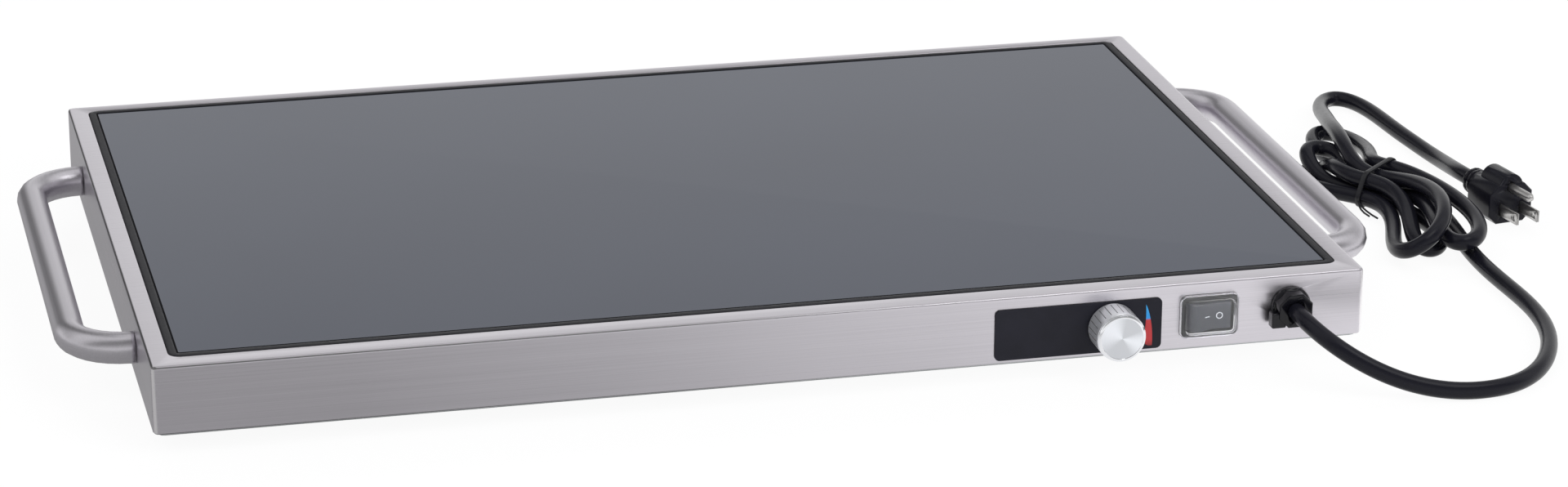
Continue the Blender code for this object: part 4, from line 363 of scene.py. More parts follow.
def spun_finish(name, colour, roughness):
    """Turned aluminium: fine rings about the knob's axis, and the fan of light they spread painted into the
    colour as bright and dark sectors.
    """
    material, nodes = new_material(name)
    where = nodes.add("ShaderNodeTexCoord").outputs["Object"]
    middle = (KNOB_MIDDLE.x, 0.0, KNOB_MIDDLE.z)
    centred = nodes.add("ShaderNodeVectorMath", {0: where, 1: middle}, operation="SUBTRACT").outputs[0]
    level = {0: centred, 1: (1.0, 0.0, 1.0)}
    flat = nodes.add("ShaderNodeVectorMath", level, operation="MULTIPLY").outputs[0]
    radius = nodes.add("ShaderNodeVectorMath", {0: flat}, operation="LENGTH").outputs["Value"]
    ring = nodes.add("ShaderNodeCombineXYZ", {"X": nodes.math("MULTIPLY", radius, SPUN_RINGS)}).outputs[0]
    fine = nodes.noise(ring, 2.0, 3.0)
    tangent = nodes.add("ShaderNodeTangent", direction_type="RADIAL", axis="Y").outputs["Tangent"]
    parts = nodes.add("ShaderNodeSeparateXYZ", {"Vector": flat}).outputs
    angle = nodes.math("ARCTAN2", parts["Z"], parts["X"])
    # Painted sheen: the colour made brighter and darker in sectors about the axis.
    sheen_fan = nodes.math("ADD", nodes.math("MULTIPLY", angle, 2.0), SHEEN_FAN_TURN)
    skew = nodes.math("MULTIPLY", nodes.math("SINE", angle), SHEEN_FAN_SKEW)
    sheen_fan = nodes.math("SINE", nodes.math("ADD", sheen_fan, skew))
    sheen_fan, rings = (nodes.math("MULTIPLY", part, share) for part, share in zip((sheen_fan, fine), SHEEN_AND_RING_SHARES))
    tone = nodes.math("ADD", sheen_fan, rings)
    low = tuple(c * SPUN_RANGE[0] for c in colour)
    high = tuple(min(1.0, c * SPUN_RANGE[1]) for c in colour)
    inputs = {
        "Base Color": nodes.ramp(tone, (0.0, low), (0.62, high)),
        "Metallic": 0.85,
        "Roughness": nodes.spread(fine, roughness * 0.85, roughness * 1.15),
        "Anisotropic": 0.85,
        "Tangent": tangent,
        "Normal": nodes.bump(fine, 0.08, 0.01 * MM),
    }
    close_material(nodes, inputs)
    return material


def clear_finish():
    """Clear silicone of the switch's boot."""
    material, nodes = new_material("clear_silicone")
    place = nodes.place()
    haze = nodes.noise(place, 500.0, 3.0)
    inputs = {
        "Base Color": nodes.ramp(haze, (0.3, (0.95, 0.96, 0.97)), (0.7, (0.99, 0.99, 1.0))),
        "Roughness": nodes.spread(haze, 0.04, 0.10),
        "Transmission Weight": 0.965,
        "IOR": 1.2,
        "Normal": nodes.bump(haze, 0.05, 0.05 * MM),
    }
    close_material(nodes, inputs)
    return material


def dim(level):
    """A weaker surface reflection."""
    return {"Specular IOR Level": level}


def make_finishes():
    return {
        "steel": steel_finish("brushed_steel", (0.685, 0.66, 0.705), "x", edges=True),
        "handle_steel": steel_finish("brushed_tube_steel", (0.62, 0.60, 0.64), "y", (0.30, 0.38)),
        "glass": glass_finish(),
        "seal": plain_finish("black_silicone", (0.014, 0.014, 0.016), 0.5),
        "galvanised": plain_finish("galvanised_sheet", (0.56, 0.58, 0.59), 0.42, 1.0, 160.0, 0.01, 0.22),
        "zinc": plain_finish("zinc_steel", (0.62, 0.62, 0.60), 0.36, 1.0, 700.0, 0.01),
        "copper": plain_finish("copper_tube", (0.72, 0.42, 0.28), 0.34, 1.0, 500.0, 0.01),
        "mat": plain_finish("heater_silicone", (0.42, 0.10, 0.05), 0.6, 0.0, 1400.0, 0.05),
        "fibre": plain_finish("ceramic_fibre", (0.84, 0.83, 0.78), 0.95, 0.0, 400.0, 0.4),
        "ceramic": plain_finish("ceramic_block", (0.86, 0.85, 0.80), 0.4),
        "overlay": plain_finish("satin_overlay", (0.011, 0.011, 0.017), 0.5, 0.0, 2500.0, 0.01, **dim(0.2)),
        "plastic": plain_finish("black_nylon", (0.004, 0.004, 0.006), 0.12, 0.0, 1200.0, 0.002, **dim(0.32)),
        "rocker": plain_finish("grey_rocker", (0.040, 0.043, 0.056), 0.38, 0.0, 1600.0, 0.02),
        "rubber": plain_finish("cord_rubber", (0.007, 0.007, 0.011), 0.25, 0.0, 260.0, 0.003, **dim(0.17)),
        "bead": plain_finish("glass_bead", (0.009, 0.009, 0.012), 0.45, 0.0, 600.0, 0.02, **dim(0.14)),
        # Black for painted shadow: the bead's inner line and the screws' cross recesses.
        "shadow_black": plain_finish("shadow_black", (0.006, 0.006, 0.007), 0.9, 0.0, 900.0, 0.02, **dim(0.05)),
        "tie": plain_finish("black_tie", (0.008, 0.008, 0.010), 0.30, 0.0, 900.0, 0.01, **dim(0.35)),
        "foot": plain_finish("foot_rubber", (0.022, 0.022, 0.023), 0.7, 0.0, 900.0, 0.06),
        "nickel": plain_finish("nickel_brass", (0.60, 0.59, 0.58), 0.36, 1.0, 600.0, 0.003, 0.05),
        "clear": clear_finish(),
        "knob_side": plain_finish("knob_side", (0.84, 0.85, 0.89), 0.3, 0.75, 900.0, 0.01, 0.03),
        "knob_ring": plain_finish("knob_ring", (0.93, 0.94, 0.97), 0.14, 1.0, 900.0, 0.005, 0.02),
        "knob_face": spun_finish("knob_face", (0.80, 0.82, 0.86), 0.30),
        "wire_red": plain_finish("wire_red", (0.45, 0.03, 0.03), 0.45),
        "wire_white": plain_finish("wire_white", (0.80, 0.80, 0.78), 0.45),
        "wire_green": plain_finish("wire_green", (0.04, 0.30, 0.08), 0.45),
        "mark": plain_finish("white_mark", (0.80, 0.82, 0.86), 0.5),
        "groove": plain_finish("groove_shadow", (0.10, 0.10, 0.11), 0.6),
    }


NODE_FINISH = (
    ("housing", "steel"),
    ("glass_top", "glass"),
    ("glass_seal", "seal"),
    ("glass_ledge", "galvanised"),
    ("insulation_pan", "galvanised"),
    ("insulation_blanket", "fibre"),
    ("heating_mat", "mat"),
    ("thermal_cutout", "ceramic"),
    ("thermostat_bulb", "copper"),
    ("base_plate", "galvanised"),
    ("base_screw", "zinc"),
    ("foot_", "foot"),
    ("pan_spacer", "ceramic"),
    ("left_handle", "handle_steel"),
    ("right_handle", "handle_steel"),
    ("handle_bolt", "zinc"),
    ("control_overlay", "overlay"),
    ("knob_shell", "knob_side"),
    ("knob_core", "plastic"),
    ("thermostat_shaft", "zinc"),
    ("thermostat_nut", "zinc"),
    ("thermostat_body", "ceramic"),
    ("switch_body", "plastic"),
    ("switch_rocker", "rocker"),
    ("switch_boot", "clear"),
    ("switch_tab", "nickel"),
    ("strain_relief", "plastic"),
    ("terminal_block", "ceramic"),
    ("ground_screw", "nickel"),
    ("live_wire", "wire_red"),
    ("switch_wire", "wire_red"),
    ("neutral_wire", "wire_white"),
    ("ground_wire", "wire_green"),
    ("cord_", "rubber"),
    ("plug_body", "rubber"),
    ("plug_", "nickel"),
)
SMOOTH_ANGLE = math.radians(38)


def dress_nodes(finishes):
    """Gives every CAD node its finish and smooth shading across its small facets."""
    for name, node in NODES.items():
        finish = next(finish for start, finish in NODE_FINISH if name.startswith(start))
        node.data.materials.clear()
        node.data.materials.append(finishes[finish])
        node.modifiers.new("weld", "WELD").merge_threshold = 0.001 * MM
        shade(node)
        weigh_normals(node)


def shade(obj):
    obj.data.shade_smooth()
    obj.data.set_sharp_from_angle(angle=SMOOTH_ANGLE)


def weigh_normals(obj):
    """Keeps the wide faces flat where small rounded ones join them."""
    modifier = obj.modifiers.new("weighted_normals", "WEIGHTED_NORMAL")
    modifier.mode = "FACE_AREA"
    modifier.weight = 50
    modifier.keep_sharp = True


# Shapes


def mesh_piece(name, bm, finish, smooth=True):
    bmesh.ops.recalc_face_normals(bm, faces=bm.faces)
    mesh = bpy.data.meshes.new(name)
    bm.to_mesh(mesh)
    bm.free()
    mesh.materials.append(finish)
    obj = bpy.data.objects.new(name, mesh)
    bpy.context.scene.collection.objects.link(obj)
    if smooth:
        shade(obj)
    return obj


def curve_piece(name, points, radius, finish, resolution=8):
    curve = bpy.data.curves.new(name, "CURVE")
    curve.dimensions = "3D"
    curve.bevel_depth = radius
    curve.bevel_resolution = resolution
    curve.use_fill_caps = True
    curve.resolution_u = 2
    spline = curve.splines.new("NURBS")
    spline.points.add(len(points) - 1)
    for point, place in zip(spline.points, points):
        point.co = (*place, 1.0)
    spline.order_u = 4
    spline.use_endpoint_u = True
    curve.materials.append(finish)
    obj = bpy.data.objects.new(name, curve)
    bpy.context.scene.collection.objects.link(obj)
    return obj


def rounded_box(low, high, corner, steps=6):
    """Points round a rectangle with rounded corners, given by two of its corners."""
    corner = max(corner, 0.1 * MM)
    places = (
        (high[0] - corner, high[1] - corner, 0),
        (low[0] + corner, high[1] - corner, 90),
        (low[0] + corner, low[1] + corner, 180),
        (high[0] - corner, low[1] + corner, 270),
    )
    points = []
    for x, y, start in places:
        for number in range(steps + 1):
            angle = math.radians(start + 90 * number / steps)
            points.append((x + corner * math.cos(angle), y + corner * math.sin(angle)))
    return points


def loft(name, loops, finish, closed=False):
    """A skin through loops of points; closed joins the last loop to the first, else both are capped."""
    bm = bmesh.new()
    rings = [[bm.verts.new(point) for point in loop] for loop in loops]
    pairs = list(zip(rings, rings[1:]))
    if closed:
        pairs.append((rings[-1], rings[0]))
    for one, two in pairs:
        for number in range(len(one)):
            after = (number + 1) % len(one)
            bm.faces.new((one[number], one[after], two[after], two[number]))
    if not closed:
        bm.faces.new(list(reversed(rings[0])))
        bm.faces.new(rings[-1])
    return mesh_piece(name, bm, finish)


def turned_piece(name, profile, at, finish, facing, steps, closed=False):
    """A body turned about an axis through at; the profile is (radius, forward), ends on the axis."""
    loops = []
    for radius, forward in profile:
        loop = []
        for number in range(steps):
            angle = math.tau * number / steps
            across, aside = radius * math.cos(angle), radius * math.sin(angle)
            if facing == "-y":
                loop.append((at[0] + across, at[1] - forward, at[2] + aside))
            else:
                loop.append((at[0] + across, at[1] + aside, at[2] - forward))
        loops.append(loop)
    return loft(name, loops, finish, closed)


# Cord: the part's own route, its kinks smoothed


def smooth_route(points, step):
    """Points about step apart on a smooth curve through the given ones."""
    points = [Vector(p) for p in points]
    padded = [2 * points[0] - points[1], *points, 2 * points[-1] - points[-2]]
    fine = []
    for a, b, c, d in zip(padded, padded[1:], padded[2:], padded[3:]):
        for part in range(ROUTE_PARTS):
            fine.append(centripetal(a, b, c, d, part / ROUTE_PARTS))
    fine.append(points[-1])
    length = sum((q - p).length for p, q in zip(fine, fine[1:]))
    count = max(2, round(length / step))
    return resample(fine, count)


def centripetal(a, b, c, d, share):
    """A point between b and c on the centripetal curve through four points."""
    t0 = 0.0
    t1 = t0 + math.sqrt((b - a).length)
    t2 = t1 + math.sqrt((c - b).length)
    t3 = t2 + math.sqrt((d - c).length)
    t = t1 + share * (t2 - t1)
    first = a.lerp(b, (t - t0) / (t1 - t0))
    second = b.lerp(c, (t - t1) / (t2 - t1))
    third = c.lerp(d, (t - t2) / (t3 - t2))
    left = first.lerp(second, (t - t0) / (t2 - t0))
    right = second.lerp(third, (t - t1) / (t3 - t1))
    return left.lerp(right, (t - t1) / (t2 - t1))


def resample(points, count):
    """count equal steps along a polyline, its ends kept."""
    lengths = [0.0]
    for p, q in zip(points, points[1:]):
        lengths.append(lengths[-1] + (q - p).length)
    found = []
    index = 0
    for number in range(count + 1):
        target = lengths[-1] * number / count
        while index < len(points) - 2 and lengths[index + 1] < target:
            index += 1
        span = lengths[index + 1] - lengths[index]
        share = (target - lengths[index]) / span if span else 0.0
        found.append(points[index].lerp(points[index + 1], min(share, 1.0)))
    return found


def cord_lengths(points):
    """How far along a route each of its points is."""
    steps = np.linalg.norm(np.diff(points, axis=0), axis=1)
    return np.concatenate([[0.0], np.cumsum(steps)])


def in_diameters(point):
    """A place in the frame, in cord diameters from the foot of the strain relief."""
    return ((point[0] - GLAND_X) / CORD, (point[1] - FRONT_Y) / CORD, point[2] / CORD)


def in_frame(points):
    return [Vector((GLAND_X + CORD * x, FRONT_Y + CORD * y, CORD * z)) for x, y, z in points]


def cord_exit():
    """Where the cord starts, in the strain relief's socket."""
    return GLAND_X, GLAND_LOW.y + GLAND_SOCKET_DEPTH - SEAT_GAP, GLAND_Z


def on_waist(across, height, along=0.0):
    """A place across the strands and along them from the middle of the waist, in diameters."""
    heading = math.radians(WAIST_HEADING)
    x = WAIST_SHARES[0] - math.sin(heading) * across + math.cos(heading) * along
    y = WAIST_SHARES[1] + math.cos(heading) * across + math.sin(heading) * along
    return x, y, height


def waist_slot(name):
    """The middle of one strand where the tie draws the hank in, in diameters."""
    return on_waist(*SLOT_SHARES[name])


def along_waist(point, distance):
    heading = math.radians(WAIST_HEADING)
    x = point[0] + math.cos(heading) * distance
    return x, point[1] + math.sin(heading) * distance, point[2]


def loop_points(row):
    """One loop of the hank: out of the waist on one side of a bent line and back on the other."""
    way, start, end, tip, neck, side, fold, belly_out, belly_in, heights = row
    share = np.arange(LOOP_STEPS) / LOOP_STEPS
    reach = np.sin(np.pi * share)[:, None]
    waist = np.array(WAIST_SHARES)
    heading = math.radians(WAIST_HEADING)
    bend = waist + way * neck * np.array([math.cos(heading), math.sin(heading)])
    spine = (1 - reach) ** 2 * waist + 2 * reach * (1 - reach) * bend + reach**2 * np.array(tip)
    run = 2 * (1 - reach) * (bend - waist) + 2 * reach * (np.array(tip) - bend)
    run = run / np.linalg.norm(run, axis=1)[:, None]
    normal = way * np.column_stack([-run[:, 1], run[:, 0]])
    reach = reach[:, 0]
    blend = share**2 * (3 - 2 * share)
    slots = (1 - blend) * SLOT_SHARES[start][0] + blend * SLOT_SHARES[end][0]
    belly = np.where(share < 0.5, belly_out, -belly_in)
    across = slots * (1 - reach)
    bulge = 0.5 * math.sqrt(fold * math.dist(tip, WAIST_SHARES))
    across = across + side * bulge * np.sin(2 * np.pi * share) * reach**2
    across = across + side * belly * 4 * reach * (1 - reach)
    levels = (SLOT_SHARES[start][1], *heights, SLOT_SHARES[end][1])
    height = np.interp(share, LOOP_STATIONS, levels)
    return np.column_stack([spine + normal * across[:, None], height])


def even_route(points, step):
    route = smooth_route(points, step)
    return np.array([tuple(point) for point in route])


def whole_cord():
    """The cord's points from the strain relief to the plug."""
    start = in_diameters(cord_exit())
    straight = (start[0], start[1] - 1.0, start[2])
    into = waist_slot("low_right")
    lead = even_route([start, straight, *LEAD_SHARES, along_waist(into, 1.3), into], CORD_STEP_SHARE)
    loops = [loop_points(row) for row in LOOPS]
    out = waist_slot("high_middle")
    neck = in_diameters(cord_end())
    axis = plug_axis()
    before = (neck[0] - axis[0], neck[1] - axis[1], neck[2])
    tail = even_route([out, along_waist(out, -1.0), *TAIL_SHARES, before, neck], CORD_STEP_SHARE)
    points = np.vstack([lead[:-1], *loops, tail])
    waists = [len(lead) - 1 + number * LOOP_STEPS for number in range(len(LOOPS) + 1)]
    pinned = np.zeros(len(points), bool)
    pinned[: len(lead) // 2] = True
    pinned[-len(tail) // 2 :] = True
    slots = ["low_right", *[row[2] for row in LOOPS]]
    ways = [*[row[0] for row in LOOPS], -1]
    for index, slot, way in zip(waists, slots, ways):
        pinned[index - 2 : index + 3] = True
        for step in range(-2, 3):
            points[index + step] = along_waist(waist_slot(slot), 0.5 * way * step)
    settled = settle(points, pinned)
    held = np.zeros(len(points), bool)
    held[:4] = held[-2:] = True
    for index in waists:
        held[index - 1 : index + 2] = True
    return fair(settled, held)


def near_along(points):
    """Which pairs of points are neighbours along the cord."""
    lengths = cord_lengths(points)
    return np.abs(lengths[:, None] - lengths[None, :]) < SETTLE_SKIP_SHARE


def pushes(points, neighbours, pitch, strength, lift=None):
    """How each point is pushed off those nearer than pitch, its neighbours left out."""
    apart = points[:, None, :] - points[None, :, :]
    distance = np.linalg.norm(apart, axis=2)
    distance[neighbours] = 10 * SETTLE_SKIP_SHARE
    first, second = np.where(distance < pitch)
    near = distance[first, second][:, None]
    way = apart[first, second] / near
    if lift:
        way = way * (1.0, 1.0, lift)
        way = way / np.linalg.norm(way, axis=1)[:, None]
    push = np.zeros_like(points)
    hits = np.zeros(len(points))
    np.add.at(push, first, way * (pitch - near) * strength)
    np.add.at(hits, first, 1)
    return push / np.maximum(hits, 1)[:, None]


def blur(rows):
    """Each row but the ends mixed with the two beside it."""
    mixed = rows.copy()
    mixed[1:-1] = 0.25 * rows[:-2] + 0.5 * rows[1:-1] + 0.25 * rows[2:]
    return mixed


def fair(points, held):
    """Takes the small kinks out of the drawn cord, as its stiffness would, and keeps strands apart."""
    neighbours = near_along(points)
    bend = np.diff(np.eye(len(points)), 2, axis=0)
    weight = np.where(held, FAIR_HOLD, 1.0)
    stiffen = np.linalg.solve(np.diag(weight) + FAIR_STIFFNESS * bend.T @ bend, np.diag(weight))
    free = ~held[:, None]
    for _ in range(FAIR_ROUNDS):
        points = stiffen @ points
        push = pushes(points, neighbours, FAIR_PITCH_SHARE, FAIR_PUSH)
        for _ in range(PUSH_BLURS):
            push = blur(push)
        points = points + push * free
        points[:, 2] = np.maximum(points[:, 2], 0.5)
    return points


def settle(points, pinned):
    """Pushes strands that touch apart, little by little, and keeps them off the table."""
    start = points
    neighbours = near_along(points)
    free = ~pinned[:, None]
    for _ in range(SETTLE_ROUNDS):
        push = pushes(points, neighbours, CORD_PITCH_SHARE, SETTLE_PUSH, SETTLE_LIFT) * free
        for _ in range(PUSH_BLURS):
            push = blur(push)
        shift = points + push * free - start
        points = start + shift + SETTLE_EASE * (blur(shift) - shift) * free
        points[:, 2] = np.maximum(points[:, 2], 0.5)
    return points


def plug_axis():
    """The way the plug's blades point, level."""
    angle = math.radians(PLUG_HEADING)
    return math.cos(angle), math.sin(angle)


def plug_point(forward, aside=0.0, height=0.0):
    """A place on the plug: forward of its neck's end, to its left and above the table."""
    x, y, _ = in_frame([(*PLUG_NECK_SHARES, 0.0)])[0]
    ahead = plug_axis()
    return (
        x + ahead[0] * forward - ahead[1] * aside,
        y + ahead[1] * forward + ahead[0] * aside,
        height,
    )


def cord_end():
    """Where the cord stops, in the plug's neck."""
    return plug_point(-SEAT_GAP, 0.0, PLUG_CORD_HEIGHT)


def make_cord(finishes):
    points = whole_cord()
    cord = curve_piece("mains_cord", in_frame(points), CORD_RADIUS, finishes["rubber"])
    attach(cord, "tray")
    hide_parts("cord_lead", "cord_hank", "cord_tail")


def hull(points):
    """The convex hull of points in a plane, anticlockwise."""
    ordered = sorted(points)
    found = []
    for line in (ordered, ordered[::-1]):
        chain = []
        for point in line:
            while len(chain) > 1 and turn_of(chain[-2], chain[-1], point) <= 0:
                chain.pop()
            chain.append(point)
        found += chain[:-1]
    return found


def turn_of(a, b, c):
    return (b[0] - a[0]) * (c[1] - a[1]) - (b[1] - a[1]) * (c[0] - a[0])


def make_tie(finishes):
    """A flat tie drawn round the strands at the waist, with its two wire ends."""
    reach = 0.5 + TIE_GAP / CORD
    around = []
    for across, height in SLOT_SHARES.values():
        for number in range(TIE_ROUND_STEPS):
            angle = math.tau * number / TIE_ROUND_STEPS
            around.append((across + reach * math.cos(angle), height + reach * math.sin(angle)))
    ring = [Vector((*point, 0.0)) for point in hull(around)]
    ring = resample([*ring, ring[0]], TIE_STEPS)[:-1]
    loops = []
    for number, point in enumerate(ring):
        run = (ring[(number + 1) % TIE_STEPS] - ring[number - 1]).normalized()
        loop = []
        for along, out in TIE_SECTION:
            across = point.x + run.y * out * MM / CORD
            height = point.y - run.x * out * MM / CORD
            place = on_waist(across, max(height, TIE_LOWEST), along * MM / CORD)
            loop.append(in_frame([place])[0])
        loops.append(loop)
    tie = loft("cord_tie_look", loops, finishes["tie"], closed=True)
    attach(tie, "tray")
    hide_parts("cord_tie")
    for name, sway in TIE_ENDS:
        rows = [on_waist(out, height, along + share * sway) for out, along, height, share in TIE_END_PLACES]
        wire = curve_piece(name, in_frame(rows), TIE_TAIL_RADIUS, finishes["tie"], resolution=4)
        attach(wire, "tray")


# Tray details


OPENING_ROOM = 0.3 * MM  # between the rim's edge and the seal
OPENING_CORNER = 6.0 * MM
BEAD_FRONT_STRETCH = 1.3
# inset from the rim's edge and height under the rim's top, in millimetres
BEAD_SECTION = (
    (0.40, -1.20),
    (0.40, -0.45),
    (0.90, -0.14),
    (1.80, -0.05),
    (3.20, -0.08),
    (4.10, -0.14),
    (4.40, -0.34),
    (3.50, -1.15),
)
# The black line at the bead's inner edge: a painted shadow.
BEAD_SHADOW_SECTION = ((4.42, -0.38), (4.42, -0.28), (5.30, -0.28), (5.30, -0.38))


def make_bead(finishes):
    """The silicone bead between rim and glass, and the black line where it ends on the glass, a painted
    shadow of the groove there.
    """
    seal_low, seal_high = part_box("glass_seal")
    low = (seal_low.x - OPENING_ROOM, seal_low.y - OPENING_ROOM)
    high = (seal_high.x + OPENING_ROOM, seal_high.y + OPENING_ROOM)
    for name, section, finish in (
        ("glass_bead", BEAD_SECTION, "bead"),
        ("glass_bead_shadow_line", BEAD_SHADOW_SECTION, "shadow_black"),
    ):
        loops = []
        for inset, drop in section:
            inset = inset * MM
            near = (low[0] + inset, low[1] + inset * BEAD_FRONT_STRETCH)
            far = (high[0] - inset, high[1] - inset)
            height = HOUSING_HIGH.z + drop * MM
            loops.append([(x, y, height) for x, y in rounded_box(near, far, OPENING_CORNER - inset, 8)])
        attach(loft(name, loops, finishes[finish], closed=True), "tray")


SCREW_HEAD = (3.1 * MM, 0.75 * MM)
SCREW_SHANK = 1.7 * MM
SCREW_CROSS = (3.4 * MM, 0.6 * MM)  # long and wide
SCREW_CROSS_PROUD = 0.03 * MM
SCREW_STEPS = 40
AXIS_HOLE = 0.02 * MM  # the radius at which a turned end closes


def make_screws(finishes):
    """Low pan heads under the base, their cross recess drawn as black bars: painted shade."""
    base_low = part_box("base_plate")[0].z
    for name in [name for name in NODES if name.startswith("base_screw")]:
        low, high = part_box(name)
        x, y = (low.x + high.x) / 2, (low.y + high.y) / 2
        radius, height = SCREW_HEAD
        profile = (
            (AXIS_HOLE, base_low - high.z),
            (SCREW_SHANK, base_low - high.z),
            (SCREW_SHANK, 0.1 * MM),
            (radius, 0.1 * MM),
            (radius * 0.97, height * 0.5),
            (radius * 0.8, height * 0.85),
            (radius * 0.5, height),
            (AXIS_HOLE, height),
        )
        at = (x, y, base_low)
        screw = turned_piece(name + "_look", profile, at, finishes["zinc"], "-z", SCREW_STEPS)
        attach(screw, "tray")
        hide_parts(name)
        # The cross recess: black bars standing proud, painted shade.
        bm = bmesh.new()
        for way in (0, 1):
            size = (SCREW_CROSS[way], SCREW_CROSS[1 - way], 2 * SCREW_CROSS_PROUD)
            add_bar(bm, (x, y, base_low - height), size)
        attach(mesh_piece(name + "_cross", bm, finishes["shadow_black"], smooth=False), "tray")


def add_bar(bm, at, size, turn=None):
    """A box of a size centred at a place, turned by a matrix."""
    made = bmesh.ops.create_cube(bm, size=1.0)["verts"]
    bmesh.ops.scale(bm, vec=size, verts=made)
    if turn is not None:
        bmesh.ops.rotate(bm, cent=(0, 0, 0), matrix=turn, verts=made)
    bmesh.ops.translate(bm, vec=at, verts=made)


# Controls


KNOB_RADIUS = 12.48 * MM
# radius and distance from the knob's back, in millimetres
KNOB_SKIRT_PROFILE = ((10.4, 0.0), (12.2, 0.0), (12.48, 0.3), (12.48, 15.6), (12.2, 15.85), (10.4, 15.85))
KNOB_RING_PROFILE = (
    (10.4, 15.9),
    (11.75, 15.9),
    (12.3, 16.15),
    (12.3, 16.5),
    (11.9, 16.75),
    (11.9, 16.95),
    (11.2, 17.55),
    (10.8, 17.58),
    (10.6, 17.4),
)
KNOB_FACE_PROFILE = ((0.02, 16.6), (10.65, 16.6), (10.65, 17.42), (0.02, 17.42))
KNOB_STEPS = 120
KNOB_GROOVES = 24
KNOB_GROOVE = (0.42 * MM, 0.5 * MM)  # across and deep
KNOB_GROOVE_RUN = (1.6 * MM, 13.2 * MM)  # from the knob's back, where a groove starts and ends
KNOB_GROOVE_PROUD = 0.02 * MM


def make_knob(finishes):
    """The turned cap: a skirt with grooves, dark bars in them as painted shadow, two polished rings and a
    spun face.
    """
    at = (KNOB_MIDDLE.x, KNOB_HIGH.y, KNOB_MIDDLE.z)
    pieces = []
    for name, profile, finish, closed in (
        ("knob_skirt", KNOB_SKIRT_PROFILE, "knob_side", True),
        ("knob_rings", KNOB_RING_PROFILE, "knob_ring", True),
        ("knob_face", KNOB_FACE_PROFILE, "knob_face", False),
    ):
        rows = [(radius * MM, forward * MM) for radius, forward in profile]
        pieces.append(turned_piece(name, rows, at, finishes[finish], "-y", KNOB_STEPS, closed))
    # Dark bars in the grooves: painted shadow.
    bm = bmesh.new()
    width, depth = KNOB_GROOVE
    start, end = KNOB_GROOVE_RUN
    for number in range(KNOB_GROOVES):
        angle = math.tau * (number + 0.5) / KNOB_GROOVES
        turn = Matrix.Rotation(-angle, 3, "Y")
        reach = KNOB_RADIUS + KNOB_GROOVE_PROUD - depth / 2
        across, up = reach * math.cos(angle), reach * math.sin(angle)
        place = (at[0] + across, at[1] - (start + end) / 2, at[2] + up)
        add_bar(bm, place, (depth, end - start, width), turn)
    pieces.append(mesh_piece("knob_groove_shadows", bm, finishes["groove"], smooth=False))
    for piece in pieces:
        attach(piece, "knob")
    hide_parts("knob_shell")


BOOT_MIDDLE = ((ROCKER_LOW.x + ROCKER_HIGH.x) / 2, (ROCKER_LOW.z + ROCKER_HIGH.z) / 2)
# half width, half height, corner radius and distance from the wall, in millimetres
BOOT_SECTIONS = (
    (8.5, 4.6, 2.0, 8.15),
    (11.3, 7.2, 2.2, 8.12),
    (12.0, 7.9, 2.5, 7.9),
    (12.55, 8.45, 2.7, 7.4),
    (12.9, 8.8, 2.8, 6.5),
    (13.05, 8.95, 2.9, 4.8),
    (13.3, 9.2, 3.0, 3.95),
    (13.8, 9.7, 3.2, 3.5),
    (14.4, 10.3, 3.4, 3.35),
    (15.0, 10.95, 3.6, 3.0),
    (15.35, 11.3, 3.7, 2.3),
    (15.4, 11.35, 3.7, 0.35),
    (14.7, 10.65, 3.0, 0.35),
    (14.7, 10.65, 3.0, 2.35),
    (14.2, 10.2, 3.0, 2.6),
    (12.4, 8.3, 2.3, 2.9),
    (12.25, 8.15, 2.2, 6.7),
    (11.9, 7.8, 2.0, 7.2),
    (11.2, 7.1, 1.9, 7.45),
    (8.5, 4.6, 1.6, 7.5),
)


def make_boot(finishes):
    """The clear moulded cover over the rocker."""
    loops = []
    for half_width, half_height, corner, forward in BOOT_SECTIONS:
        low = (BOOT_MIDDLE[0] - half_width * MM, BOOT_MIDDLE[1] - half_height * MM)
        high = (BOOT_MIDDLE[0] + half_width * MM, BOOT_MIDDLE[1] + half_height * MM)
        points = rounded_box(low, high, corner * MM, 8)
        loops.append([(x, FRONT_Y - forward * MM, z) for x, z in points])
    boot = loft("switch_boot_look", loops, finishes["clear"])
    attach(boot, "tray")
    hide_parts("switch_boot")


ROCKER_FLAT_Y = FRONT_Y - 2.6 * MM  # the face of the pressed half
ROCKER_FOLD_X = BOOT_MIDDLE[0] + 0.97 * MM
ROCKER_SLANT = math.radians(22)
MARK_PROUD = 0.03 * MM
MARK_WIDTH = 0.42 * MM
MARK_DASH = (-1.7 * MM, 2.9 * MM)  # from the rocker's middle, and long
MARK_RING = (5.0 * MM, 1.55 * MM)  # from the rocker's middle, and its radius
MARK_STEPS = 48


def make_rocker_marks(finishes):
    """A dash on the raised half and a ring on the pressed one."""
    bm = bmesh.new()
    along = (ROCKER_FOLD_X - BOOT_MIDDLE[0] - MARK_DASH[0]) / math.cos(ROCKER_SLANT)
    x = ROCKER_FOLD_X - along * math.cos(ROCKER_SLANT)
    y = ROCKER_FLAT_Y - along * math.sin(ROCKER_SLANT)
    turn = Matrix.Rotation(ROCKER_SLANT, 3, "Z")
    add_bar(bm, (x, y, BOOT_MIDDLE[1]), (MARK_DASH[1], 2 * MARK_PROUD, MARK_WIDTH), turn)
    middle = BOOT_MIDDLE[0] + MARK_RING[0]
    rings = []
    for radius in (MARK_RING[1] - MARK_WIDTH / 2, MARK_RING[1] + MARK_WIDTH / 2):
        ring = []
        for number in range(MARK_STEPS):
            angle = math.tau * number / MARK_STEPS
            across, up = radius * math.cos(angle), radius * math.sin(angle)
            ring.append(bm.verts.new((middle + across, ROCKER_FLAT_Y - MARK_PROUD, BOOT_MIDDLE[1] + up)))
        rings.append(ring)
    for number in range(MARK_STEPS):
        after = (number + 1) % MARK_STEPS
        bm.faces.new((rings[0][number], rings[0][after], rings[1][after], rings[1][number]))
    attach(mesh_piece("rocker_marks", bm, finishes["mark"], smooth=False), "rocker")


